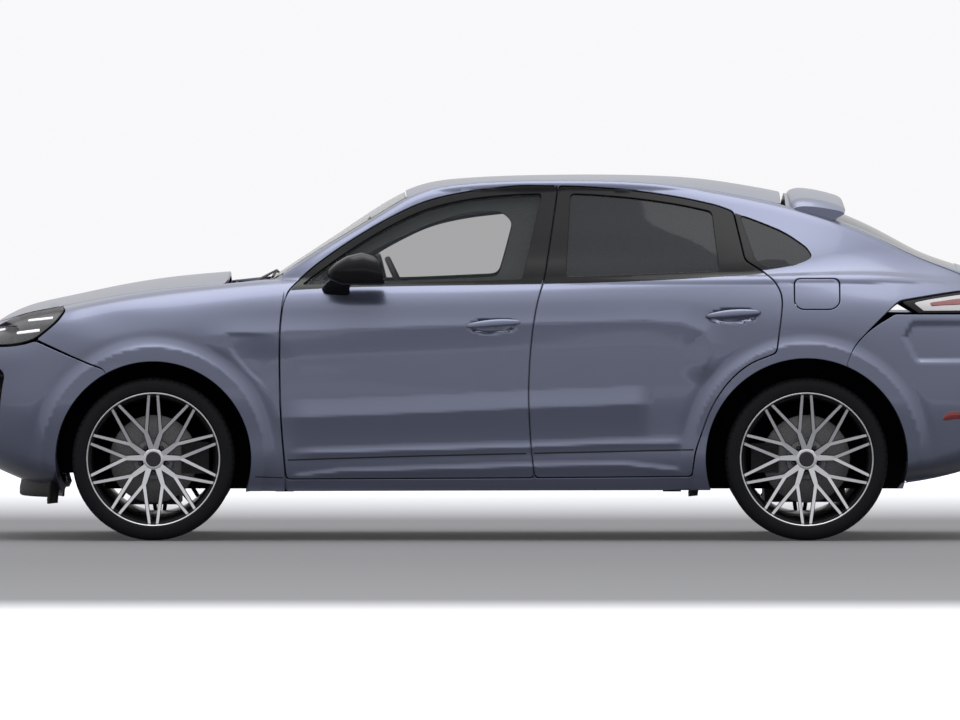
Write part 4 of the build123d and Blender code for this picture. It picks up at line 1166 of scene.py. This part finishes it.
def rim(name, x, side, body, node):
    """Ten forked spokes in five groups, machined on their faces and black at their sides."""
    verts, faces, marks = [], [], []

    def put(v, f, m):
        start = len(verts)
        verts.extend((x + a, TRACK + d, WHEEL_Z + b) for a, b, d in v)
        faces.extend(tuple(start + i for i in q) for q in f)
        marks.extend(m)

    for k in range(5):
        axis = 72 * k
        for s in (-1, 1):
            root, fork = polar(0.036, axis + s * 7), polar(0.120, axis + s * 15.6)
            near, far = polar(0.287, axis + s * 3.9), polar(0.287, axis + s * 32.6)
            put(*beam(root, fork, 0.026, 0.019, 0.079, 0.089, 0.040, 0.036))
            for end in (near, far):
                f = np.array(fork) * 0.985
                put(*beam(f, end, 0.0145, 0.0115, 0.089, 0.1165, 0.036, 0.028))
            web = [polar(0.112, axis + s * 14.5), polar(0.135, axis + s * 13.2),
                   polar(0.137, axis + s * 19.5)]
            put([(*q, 0.0888) for q in web] + [(*q, 0.06) for q in web],
                [(0, 1, 2), (3, 4, 5), (0, 1, 4, 3), (1, 2, 5, 4), (2, 0, 3, 5)], [0, 1, 1, 1, 1])
    barrel = [(0.2965, 0.131), (0.2975, 0.126), (0.2965, 0.120), (0.2815, 0.112), (0.2815, -0.112),
              (0.296, -0.12), (0.297, -0.132), (0.290, -0.134), (0.279, -0.112), (0.270, -0.085),
              (0.264, -0.02), (0.268, 0.05), (0.276, 0.095), (0.284, 0.114), (0.2885, 0.1225),
              (0.2905, 0.1305), (0.2935, 0.1325)]
    v, f = lathe(barrel, 0, 0, 0, 128)
    bright = {14, 15, 16, 0}
    put([(a, c, b) for a, b, c in v], f, [0 if i % len(barrel) in bright else 1 for i in range(len(f))])
    hub = [(0.0005, 0.086), (0.030, 0.086), (0.033, 0.084), (0.0335, 0.081), (0.042, 0.0815), (0.047, 0.079),
           (0.050, 0.070), (0.052, 0.034), (0.0005, 0.034)]
    v, f = lathe(hub, 0, 0, 0, 64)
    cap = {0, 1, 2}
    put([(a, c, b) for a, b, c in v], f, [1 if i % len(hub) in cap else 0 for i in range(len(f))])
    for k in range(5):
        bolt = [(0.0005, 0.062), (0.008, 0.062), (0.009, 0.060), (0.009, 0.036), (0.0005, 0.036)]
        v, f = lathe(bolt, 0, 0, 0, 12)
        cx, cz = polar(0.062, 36 + 72 * k)
        put([(a + cx, c + cz, b) for a, b, c in v], f, [1] * len(f))
    solid(name, verts, faces, (SILVER, DARK_ALLOY), body, marks, "rim", side, crisp=30, replaces=[node])
    disc = [(0.062, 0.036), (0.088, 0.034), (0.090, -0.019), (0.192, -0.019), (0.195, -0.021),
            (0.195, -0.033), (0.188, -0.033), (0.188, -0.037), (0.195, -0.037), (0.195, -0.048),
            (0.192, -0.050), (0.080, -0.050)]
    v, f = lathe(disc, x, WHEEL_Z, TRACK, 96)
    solid(name.replace("rim", "brake_disc"), v, f, STEEL, body, slot="cast", side=side)


def wheels():
    for word, x in (("front", X_FRONT), ("rear", X_REAR)):
        for side, ending in ENDING.items():
            tag = word + ending
            tyre("tyre_tread_" + tag, x, side, "wheel_" + tag, "tyre_" + tag)
            rim("rim_spokes_" + tag, x, side, "wheel_" + tag, "rim_" + tag)


def oval_ring(center, across, up, a, b, power=2.6, count=28):
    """A superellipse ring round a centre, along two axes."""
    out = []
    for i in range(count):
        t = 2 * pi * i / count
        u = abs(cos(t))**(2 / power) * (1 if cos(t) >= 0 else -1)
        v = abs(sin(t))**(2 / power) * (1 if sin(t) >= 0 else -1)
        out.append(np.array(center) + np.array(across) * a * u + np.array(up) * b * v)
    return out


def mirrors():
    """Gloss black heads on short feet, a mirror glass in the rear face."""
    # x, middle y, middle z, half width, half height
    head = [(-0.806, 0.985, 1.176, 0.008, 0.006), (-0.796, 0.987, 1.178, 0.042, 0.026),
            (-0.757, 0.992, 1.184, 0.078, 0.050), (-0.705, 0.995, 1.198, 0.093, 0.065),
            (-0.640, 0.998, 1.206, 0.098, 0.073), (-0.590, 0.998, 1.200, 0.097, 0.067),
            (-0.569, 0.998, 1.195, 0.093, 0.061), (-0.567, 0.998, 1.195, 0.086, 0.054),
            (-0.576, 0.998, 1.195, 0.082, 0.050)]
    foot = [(-0.772, 0.880, 1.092, 0.064, 0.048), (-0.768, 0.915, 1.112, 0.056, 0.036),
            (-0.755, 0.945, 1.140, 0.048, 0.022), (-0.715, 0.985, 1.172, 0.050, 0.026)]
    for side, word in ENDING.items():
        rings = [oval_ring((x, y, z), (0, 1, 0), (-0.25, 0, 1), a, b, 2.8, 40) for x, y, z, a, b in head]
        v, f = skin_of_rings(rings)
        solid("mirror_head" + word, v, f, BLACK, "front_door" + word, slot="gloss_black", side=side, crisp=60,
              replaces=["mirror" + word])
        v, f = skin_of_rings([oval_ring((x, 0.998, 1.195), (0, 1, 0), (-0.25, 0, 1), a, b, 2.8, 40)
                              for x, a, b in ((-0.5730, 0.081, 0.049), (-0.5710, 0.080, 0.048))])
        solid("mirror_glass" + word, v, f, MIRROR, "front_door" + word, slot="gloss_black", side=side)
        rings = [oval_ring((x, y, z), (1, 0.1, 0), (0, 0.5, 1), a, b, 3.0, 28) for x, y, z, a, b in foot]
        v, f = skin_of_rings(rings)
        solid("mirror_foot" + word, v, f, BLACK, "front_door" + word, slot="gloss_black", side=side, crisp=60)


def handles():
    """Leaf shaped bars across a dish, painted."""
    for door, x0, x1, z in HANDLES:
        at = np.linspace(0, 1, 33)
        line = np.stack([x0 + (x1 - x0) * at, z + 0.005 * np.sin(pi * at) + 0.018 * (at - 0.5)], 1)
        base = np.stack([line[:, 0], flank(line[:, 0], line[:, 1]), line[:, 1]], 1)
        n = np.stack([np.zeros(33), np.ones(33), np.zeros(33)], 1)
        rings = []
        for t, p, nn in zip(at, base, n):
            swell = max(sin(pi * t), 0.0)**0.5
            rings.append(oval_ring(p + nn * (0.004 + 0.020 * swell), nn, (0, -0.25, 1), 0.003 + 0.008 * swell,
                                   0.003 + 0.0135 * swell, 2.4, 20))
        v, f = skin_of_rings(rings)
        for side, word in ENDING.items():
            solid(door + "_handle" + word, v, f, PAINT, door + word, slot="paint", side=side, crisp=60)


def spoiler():
    """Raised wing across the end of the roof, bowed with it."""
    section = [(1240, 1500), (1238, 1533), (1244, 1545), (1262, 1555), (1290, 1560), (1340, 1556),
               (1405, 1543), (1460, 1527), (1480, 1515), (1484, 1508), (1476, 1499), (1452, 1480),
               (1438, 1466), (1405, 1460), (1340, 1478)]
    section = rounded(mm(section), 0.01)[::2]
    rings = []
    for y in np.linspace(-0.592, 0.592, 41):
        end = abs(y) / 0.592
        fall = float(roof_fall(np.array([1.36]))[0]) * (y / 0.6)**2 * 1.05
        low = 0.35 * ramp(np.array([end]), 0.9, 1.0)[0]
        rings.append([(1.376 + (x - 1.376) * (1 - 0.18 * low) + 0.012 * end**2, y,
                       1.49 + (z - 1.49) * (1 - low) - fall) for x, z in section])
    v, f = skin_of_rings(rings)
    solid("roof_spoiler_wing", v, f, PAINT, "tailgate", slot="paint", crisp=50, replaces=["roof_spoiler"])


def rounded_block(size, power=5.0, cuts=17, crown=0.25):
    """Points and faces of a pad: width, length and thickness, crowned on both faces."""
    work = bmesh.new()
    bmesh.ops.create_cube(work, size=2.0)
    bmesh.ops.subdivide_edges(work, edges=work.edges, cuts=cuts, use_grid_fill=True)
    verts = []
    for v in work.verts:
        q = np.array(v.co)
        q = q / (np.sum(np.abs(q)**power))**(1 / power)
        q[2] *= 1 - crown + crown * (1 - q[0]**2) * (1 - q[1]**2)
        verts.append(tuple(q * np.array(size) / 2))
    faces = [tuple(v.index for v in f.verts) for f in work.faces]
    work.free()
    return verts, faces


def evaluated(obj):
    """Points and faces of an object with its modifiers, which is then removed."""
    shape = obj.evaluated_get(bpy.context.evaluated_depsgraph_get()).to_mesh()
    verts = [tuple(v.co) for v in shape.vertices]
    faces = [tuple(f.vertices) for f in shape.polygons]
    bpy.data.objects.remove(obj)
    return verts, faces


def loose(verts, faces):
    mesh = bpy.data.meshes.new("work")
    mesh.from_pydata(verts, [], faces)
    obj = bpy.data.objects.new("work", mesh)
    bpy.context.scene.collection.objects.link(obj)
    return obj


def puffed(verts, faces, cap):
    """The form swollen by air pressure as cloth, with each point's move capped, then smoothed once."""
    obj = loose(verts, faces)
    cloth = obj.modifiers.new("cloth", "CLOTH")
    cloth.settings.use_pressure = True
    cloth.settings.uniform_pressure_force = 4.0
    cloth.settings.effector_weights.gravity = 0.0
    cloth.settings.quality = 4
    for step in range(1, 15):
        bpy.context.scene.frame_set(step)
    start = np.array(verts)
    moved, faces = evaluated(obj)
    shift = np.array(moved) - start
    shift -= shift.mean(0)
    size = np.linalg.norm(shift, axis=1)[:, None] + 1e-9
    verts = [tuple(p) for p in start + shift * np.minimum(cap / size, 1)]
    bpy.context.scene.frame_set(1)
    obj = loose(verts, faces)
    obj.modifiers.new("smooth", "SUBSURF").levels = 1
    return evaluated(obj)


# Pads already made, by size, bolster and channels
PADS = {}


def pad(name, size, place, slope, body="body", bolster=0.0, channels=0, look=None, side=RIGHT, replaces=(),
        cap=0.010):
    """A stuffed pad. Slope turns its length from level, front to back, towards upright."""
    key = (size, bolster, channels)
    if key not in PADS:
        verts, faces = puffed(*rounded_block([v - 2 * cap * (k == 2) for k, v in enumerate(size)]), cap)
        q = np.array(verts)
        u, v = q[:, 0] / (size[0] / 2), q[:, 1] / (size[1] / 2)
        top = ramp(q[:, 2], 0.0, size[2] * 0.3)
        lift = bolster * ramp(np.abs(u), 0.52, 0.80) * (1 - 0.6 * ramp(np.abs(v), 0.6, 1.0))
        if bolster:
            lift -= 0.007 * np.exp(-((np.abs(u) - 0.54) / 0.035)**2) * (1 - ramp(np.abs(v), 0.86, 0.98))
        for k in range(channels):
            at = -0.62 + 1.24 * k / max(channels - 1, 1)
            lift -= 0.006 * np.exp(-((v - at) * size[1] / 2 / 0.007)**2) * (1 - ramp(np.abs(u), 0.46, 0.54))
        q[:, 2] += lift * top
        PADS[key] = q, faces
    q, faces = PADS[key]
    f = radians(slope)
    along_v, out_w = np.array([cos(f), 0, sin(f)]), np.array([-sin(f), 0, cos(f)])
    world = np.array(place) + q[:, :1] * np.array([0, 1.0, 0]) + q[:, 1:2] * along_v + q[:, 2:] * out_w
    piece = solid(name, [tuple(p) for p in world], faces, look or LEATHER, body, slot="cabin", side=side,
                  crisp=80, replaces=replaces)
    return piece


def seats():
    for side, word in ENDING.items():
        y = 0.40
        pad("front_cushion" + word, (0.50, 0.53, 0.155), (-0.160, y, 0.562), -5, bolster=0.022, channels=4,
            side=side, replaces=["front_seats"] if side == LEFT else ())
        pad("front_backrest" + word, (0.47, 0.57, 0.125), (0.172, y, 0.865), 71.5, bolster=0.026, channels=5,
            side=side)
        pad("front_headrest" + word, (0.26, 0.19, 0.085), (0.296, y, 1.262), 81, side=side)
        shell, f = rounded_block((0.44, 0.56, 0.03), 6.0, 9)
        v = [(0.240 + b * 0.316 - c * 0.949, y + a, 0.845 + b * 0.949 + c * 0.316) for a, b, c in shell]
        solid("front_seat_shell" + word, v, f, TRIM, "body", slot="cabin", side=side, crisp=60)
        base, f = rounded_block((0.44, 0.47, 0.20), 8.0, 7, 0.1)
        v = [(-0.150 + b * (1 + c * 0.6), y + a * (1 + c * 0.8), 0.375 + c) for a, b, c in base]
        solid("front_seat_base" + word, v, f, TRIM, "body", slot="cabin", side=side, crisp=60)
        for k, dy in enumerate((-0.06, 0.06)):
            post = [(0.262, y + dy, 1.10), (0.280, y + dy, 1.16), (0.290, y + dy, 1.22)]
            tube(f"front_post_{k}" + word, post, 0.006, STEEL, "body", "cabin", side)
            tube(f"front_rail_{k}" + word, [(-0.40, y + dy * 3, 0.262), (0.10, y + dy * 3, 0.262)], 0.012,
                 CAST, "body", "cabin", side)
        pad("rear_cushion" + word, (0.46, 0.43, 0.145), (0.640, 0.385, 0.520), -6, bolster=0.012, channels=3,
            side=side, replaces=["rear_bench"] if side == LEFT else ())
        pad("rear_backrest" + word, (0.45, 0.54, 0.090), (0.962, 0.385, 0.842), 73.5, bolster=0.012,
            channels=4, side=side)
        pad("rear_headrest" + word, (0.25, 0.15, 0.070), (1.048, 0.385, 1.182), 84, side=side)
    pad("rear_cushion_middle", (0.29, 0.43, 0.130), (0.640, 0.0, 0.522), -6, channels=3)
    pad("rear_backrest_middle", (0.29, 0.54, 0.085), (0.964, 0.0, 0.842), 73.5, channels=4)
    pad("rear_headrest_middle", (0.22, 0.12, 0.065), (1.046, 0.0, 1.168), 84)
    base, f = rounded_block((1.22, 0.44, 0.19), 8.0, 9, 0.05)
    solid("rear_seat_base", [(0.670 + b, a, 0.350 + c) for a, b, c in base], f, TRIM, "body", slot="cabin",
          crisp=60)


def block_of(name, size, place, look, body="body", slot="cabin", power=6.0, slope=0.0, crown=0.05, side=RIGHT,
             replaces=(), cuts=9):
    """A softly rounded block: width across the car, length and height, tilted about the width."""
    verts, faces = rounded_block(size, power, cuts, crown)
    f = radians(slope)
    v = [(place[0] + b * cos(f) - c * sin(f), place[1] + a, place[2] + b * sin(f) + c * cos(f))
         for a, b, c in verts]
    return solid(name, v, faces, look, body, slot=slot, side=side, crisp=60, replaces=replaces)


def dashboard():
    section = [(-1130, 745), (-1130, 990), (-1095, 1024), (-1020, 1036), (-900, 1034), (-830, 1022),
               (-790, 1000), (-772, 965), (-776, 935), (-800, 915), (-838, 902), (-846, 860), (-836, 800),
               (-800, 762), (-806, 742)]
    section = rounded(mm(section), 0.02)[::2]
    rings = []
    for y in np.linspace(-0.73, 0.73, 41):
        bow = 0.035 * (y / 0.73)**2
        rings.append([(x - bow * (x > -1.05), y, z - 0.012 * (y / 0.73)**2) for x, z in section])
    solid("dash_pad", *skin_of_rings(rings), TRIM, "body", slot="cabin", crisp=50, replaces=["dashboard"])
    seam = [(-0.778 - 0.035 * (y / 0.73)**2, y, 0.960 - 0.012 * (y / 0.73)**2)
            for y in np.linspace(-0.72, 0.72, 31)]
    tube("dash_trim_line", seam, 0.004, STEEL, "body", "cabin")
    for name, y, z, wide, high, x in (("cluster_screen", -0.40, 1.020, 0.36, 0.115, -0.800),
                                      ("centre_screen", 0.0, 0.985, 0.30, 0.110, -0.772),
                                      ("passenger_screen", 0.40, 0.975, 0.30, 0.075, -0.786)):
        block_of(name, (wide, high, 0.014), (x, y, z), SCREEN_GLASS, slope=72, power=9.0)
    for k, y in enumerate((-0.67, -0.12, 0.12, 0.67)):
        for row in range(3):
            block_of(f"air_vent_{k}_{row}", (0.10, 0.030, 0.005), (-0.845, y, 0.872 - 0.017 * row), TRIM,
                     slope=10, cuts=5)
    rings = []
    for x, top, wide in ((-0.858, 0.82, 0.115), (-0.80, 0.80, 0.122), (-0.70, 0.735, 0.128),
                         (-0.60, 0.690, 0.128), (-0.30, 0.655, 0.128), (-0.10, 0.650, 0.126),
                         (0.10, 0.645, 0.122), (0.145, 0.60, 0.115)):
        half = (top - 0.262) / 2
        rings.append(oval_ring((x, 0, 0.262 + half), (0, 1, 0), (0, 0, 1), wide, half, 7.0, 36))
    solid("console", *skin_of_rings(rings), TRIM, "body", slot="cabin", crisp=50)
    pad("console_armrest", (0.22, 0.30, 0.060), (-0.02, 0.0, 0.668), 0, cap=0.004)
    block_of("console_plate", (0.19, 0.34, 0.010), (-0.46, 0.0, 0.675), SCREEN_GLASS, slope=-7, power=8.0)
    for k, x in enumerate((-0.36, -0.27)):
        ring = [(x + 0.036 * cos(t), 0.045 + 0.036 * sin(t), 0.664) for t in np.linspace(0, 2 * pi, 33)]
        tube(f"cup_ring_{k}", ring, 0.003, STEEL, "body", "cabin")
    verts, faces = rounded_block((0.225, 0.030, 0.062), 4.0, 9, 0.1)
    solid("cabin_mirror", [(-0.590 + b, a, 1.375 + c) for a, b, c in verts], faces, BLACK, "body",
          slot="gloss_black")
    tube("cabin_mirror_stem", [(-0.590, 0, 1.385), (-0.612, 0, 1.410), (-0.630, 0, 1.425)], 0.008, BLACK,
         "body", "gloss_black")


WHEEL_HUB = np.array([-0.470, -0.400, 1.085])
WHEEL_AXIS = np.array([0.9063, 0.0, 0.4226])
WHEEL_UP = np.array([-0.4226, 0.0, 0.9063])


def steering_wheel():
    """Leather ring, three spokes and a hub pad, turned by the steering joint."""
    across = np.array([0, 1.0, 0])
    ring = [WHEEL_HUB + (across * cos(t) + WHEEL_UP * sin(t) * (0.93 if sin(t) < 0 else 1)) * 0.174
            for t in np.linspace(0, 2 * pi, 73)]
    grip = 0.0135 + 0.002 * np.abs(np.cos(np.linspace(0, 2 * pi, 73)))**6
    wheel = tube("steering_ring", ring, grip, LEATHER, "steering_wheel", "cabin")
    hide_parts("steering_wheel")
    verts, faces = rounded_block((0.125, 0.110, 0.046), 3.5, 11, 0.2)
    v = [tuple(WHEEL_HUB - WHEEL_AXIS * 0.012 + across * a + WHEEL_UP * b + WHEEL_AXIS * c)
         for a, b, c in verts]
    solid("steering_hub", v, faces, TRIM, "steering_wheel", slot="cabin", crisp=60)
    for k, (a, b) in enumerate(((1, 0.0), (-1, 0.0), (0.0, -1))):
        way = across * a + WHEEL_UP * b
        wide = np.cross(WHEEL_AXIS, way)
        rings = []
        for r, w, d in ((0.045, 0.026, -0.014), (0.090, 0.017, -0.012), (0.130, 0.014, -0.006),
                        (0.166, 0.018, 0.0)):
            if k == 2:
                r *= 0.95
            rings.append(oval_ring(WHEEL_HUB + way * r + WHEEL_AXIS * d, wide, WHEEL_AXIS, w, 0.007, 3.0, 20))
        solid(f"steering_spoke_{k}", *skin_of_rings(rings), BLACK, "steering_wheel", slot="gloss_black",
              crisp=60)
    column = [WHEEL_HUB - WHEEL_AXIS * d for d in (0.045, 0.10, 0.18, 0.27, 0.33)]
    tube("steering_column", column, [0.030, 0.046, 0.052, 0.052, 0.050], TRIM, "body", "cabin", count=24)
    for word, s in (("left", -1), ("right", 1)):
        base = WHEEL_HUB - WHEEL_AXIS * 0.085
        tube("column_stalk_" + word, [base + across * s * d + WHEEL_UP * 0.02 for d in (0.03, 0.09, 0.135)],
             [0.008, 0.006, 0.009], TRIM, "body", "cabin")


def door_cards():
    """Armrests, pulls and speaker covers on the inner faces of the doors."""
    for door, x0, x1, z, y0 in (("front_door", -0.72, -0.08, 0.735, 0.888),
                                ("rear_door", 0.26, 0.78, 0.745, 0.890)):
        at = np.linspace(0, 1, 21)
        rings = []
        for t in at:
            reach = 0.058 * sin(pi * min(max(t, 0.03), 0.97))**0.35
            rings.append(oval_ring((x0 + (x1 - x0) * t, y0 + 0.010 - reach / 2, z), (0, 1, 0), (0, 0, 1),
                                   reach / 2 + 0.012, 0.030 + 0.010 * sin(pi * t), 3.5, 24))
        v, f = skin_of_rings(rings)
        speaker_x = x0 + 0.10 if door == "front_door" else x1 - 0.14
        for side, word in ENDING.items():
            solid(door + "_armrest" + word, v, f, LEATHER, door + word, slot="cabin", side=side, crisp=60)
            pull = [(x0 + 0.10, y0 - 0.012, z + 0.15), (x0 + 0.14, y0 - 0.026, z + 0.155),
                    (x0 + 0.24, y0 - 0.026, z + 0.165), (x0 + 0.28, y0 - 0.012, z + 0.168)]
            tube(door + "_pull" + word, pull, 0.007, STEEL, door + word, "cabin", side)
            profile = [(0.0005, 0.006), (0.060, 0.006), (0.074, 0.003), (0.078, -0.004), (0.0005, -0.004)]
            sv, sf = lathe(profile, 0, 0, 0, 40)
            sv = [(speaker_x + a, y0 - 0.004 - b, 0.50 + c) for a, b, c in sv]
            solid(door + "_speaker" + word, sv, sf, PLASTIC, door + word, slot="cabin", side=side, crisp=40)


def finishes():
    """Materials for the frame's own nodes that stay in sight."""
    for look, names in ((LINER, ("underbody", "cowl")),
                        (CAST, ("axle_carriers", "engine_block", "front_knuckle_left",
                                "front_knuckle_right"))):
        for name in names:
            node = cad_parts[name]
            node.data.materials.clear()
            node.data.materials.append(look)
            soft_edges(node, 0.003, 2)


doors()
body_side()
quarter_windows()
jambs()
flaps()
fenders()
roof()
windscreen()
hood()
tailgate()
front_bumper()
headlamps()
grille_bars()
front_lip()
wheel_flaps()
cowl_and_wipers()
rear_bumper()
tail_lamps()
light_bar()
diffuser()
wheels()
mirrors()
handles()
spoiler()
seats()
dashboard()
steering_wheel()
door_cards()
finishes()


# Studio
def shade_ramp(tree, stops, tint):
    """A colour ramp with stops of position and brightness."""
    shades = tree.nodes.new("ShaderNodeValToRGB")
    for place, level_there in stops:
        stop = shades.color_ramp.elements[0] if place == 0 else shades.color_ramp.elements.new(place)
        stop.color = (*[level_there * t for t in tint], 1)
    shades.color_ramp.elements.remove(shades.color_ramp.elements[-1])
    return shades


def floor_painted_shadow():
    """Pale floor with a painted soft grey shadow stretching from behind the car to well in front of it, and a
    painted glow in step with its brightness.
    """
    m = material("studio_floor", (0.80, 0.80, 0.81), 0.8, vary=0.01, gloss=0.1)
    tree = m.node_tree
    place = tree.nodes.new("ShaderNodeTexCoord")
    split = tree.nodes.new("ShaderNodeSeparateXYZ")
    reach = tree.nodes.new("ShaderNodeMapRange")
    reach.inputs["From Min"].default_value, reach.inputs["From Max"].default_value = -40.0, 40.0
    # Painted shadow: pale floor, then a grey stretch across the car's place, then pale floor again
    stops = ((0.0, 0.90), (0.330, 0.90), (0.362, 0.20), (0.44, 0.155), (0.54, 0.15), (0.60, 0.55),
             (0.66, 0.90))
    shades = shade_ramp(tree, stops, (0.95, 0.96, 1))
    shader = tree.nodes["Principled BSDF"]
    # Painted glow: the floor gives off light in step with its painted shades, though it is no lamp
    painted_glow = tree.nodes.new("ShaderNodeMath")
    painted_glow.operation = "MULTIPLY"
    painted_glow.inputs[1].default_value = 0.30
    tree.links.new(shades.outputs["Color"], painted_glow.inputs[0])
    shader.inputs["Emission Color"].default_value = (1.0, 1.0, 1.0, 1)
    tree.links.new(painted_glow.outputs["Value"], shader.inputs["Emission Strength"])
    tree.links.new(place.outputs["Object"], split.inputs["Vector"])
    tree.links.new(split.outputs["Y"], reach.inputs["Value"])
    tree.links.new(reach.outputs["Result"], shades.inputs["Fac"])
    tree.links.new(shades.outputs["Color"], shader.inputs["Base Color"])
    return m


def studio():
    """Plain pale backdrop, light from all round that grows with height, two soft lamps and the floor."""
    scene = bpy.context.scene
    scene.view_settings.view_transform = "Standard"
    world = bpy.data.worlds.new("studio_light")
    scene.world = world
    world.use_nodes = True
    tree = world.node_tree
    back = tree.nodes["Background"]
    place = tree.nodes.new("ShaderNodeTexCoord")
    split = tree.nodes.new("ShaderNodeSeparateXYZ")
    stops = ((0.0, 0.31), (0.20, 0.36), (0.50, 0.50), (0.80, 0.62), (0.93, 0.98), (1.0, 1.0))
    shades = shade_ramp(tree, stops, (1, 1, 1.01))
    tree.links.new(place.outputs["Generated"], split.inputs["Vector"])
    tree.links.new(split.outputs["Z"], shades.inputs["Fac"])
    back.inputs["Strength"].default_value = 2.1
    path = tree.nodes.new("ShaderNodeLightPath")
    mix = tree.nodes.new("ShaderNodeMixShader")
    plain = tree.nodes.new("ShaderNodeBackground")
    plain.inputs["Color"].default_value = (0.945, 0.940, 0.955, 1)
    tree.links.new(shades.outputs["Color"], back.inputs["Color"])
    tree.links.new(path.outputs["Is Camera Ray"], mix.inputs["Fac"])
    tree.links.new(back.outputs["Background"], mix.inputs[1])
    tree.links.new(plain.outputs["Background"], mix.inputs[2])
    tree.links.new(mix.outputs["Shader"], tree.nodes["World Output"].inputs["Surface"])
    floor = bpy.data.meshes.new("studio_floor")
    floor.from_pydata([(-60, -60, 0), (60, -60, 0), (60, 60, 0), (-60, 60, 0)], [], [(0, 1, 2, 3)])
    floor.materials.append(floor_painted_shadow())
    obj = bpy.data.objects.new("studio_floor", floor)
    scene.collection.objects.link(obj)
    for name, place, size, power in (("key", (-3.0, -9.0, 10.0), 8.0, 40),
                                     ("top", (0.0, 0.0, 8.0), 7.0, 300)):
        light = bpy.data.lights.new(name, "AREA")
        light.size, light.energy = size, power
        lamp = bpy.data.objects.new(name, light)
        lamp.location = place
        lamp.rotation_euler = (Vector((0, 0, 0.7)) - Vector(place)).to_track_quat("-Z", "Y").to_euler()
        scene.collection.objects.link(lamp)


# Width of the picture where the car stands
VIEW_WIDTH = 4.298


def camera():
    """Seen from the left, nearly level and from far away."""
    data = bpy.data.cameras.new("camera")
    obj = bpy.data.objects.new("camera", data)
    distance, lift = 90.0, radians(0.8)
    data.lens = 36 * distance / VIEW_WIDTH
    data.clip_end = 400
    target = Vector((-0.1325, 0.0, 0.788))
    obj.location = target + Vector((0, -cos(lift), sin(lift))) * distance
    obj.rotation_euler = (target - obj.location).to_track_quat("-Z", "Y").to_euler()
    bpy.context.scene.collection.objects.link(obj)
    bpy.context.scene.camera = obj


studio()
camera()
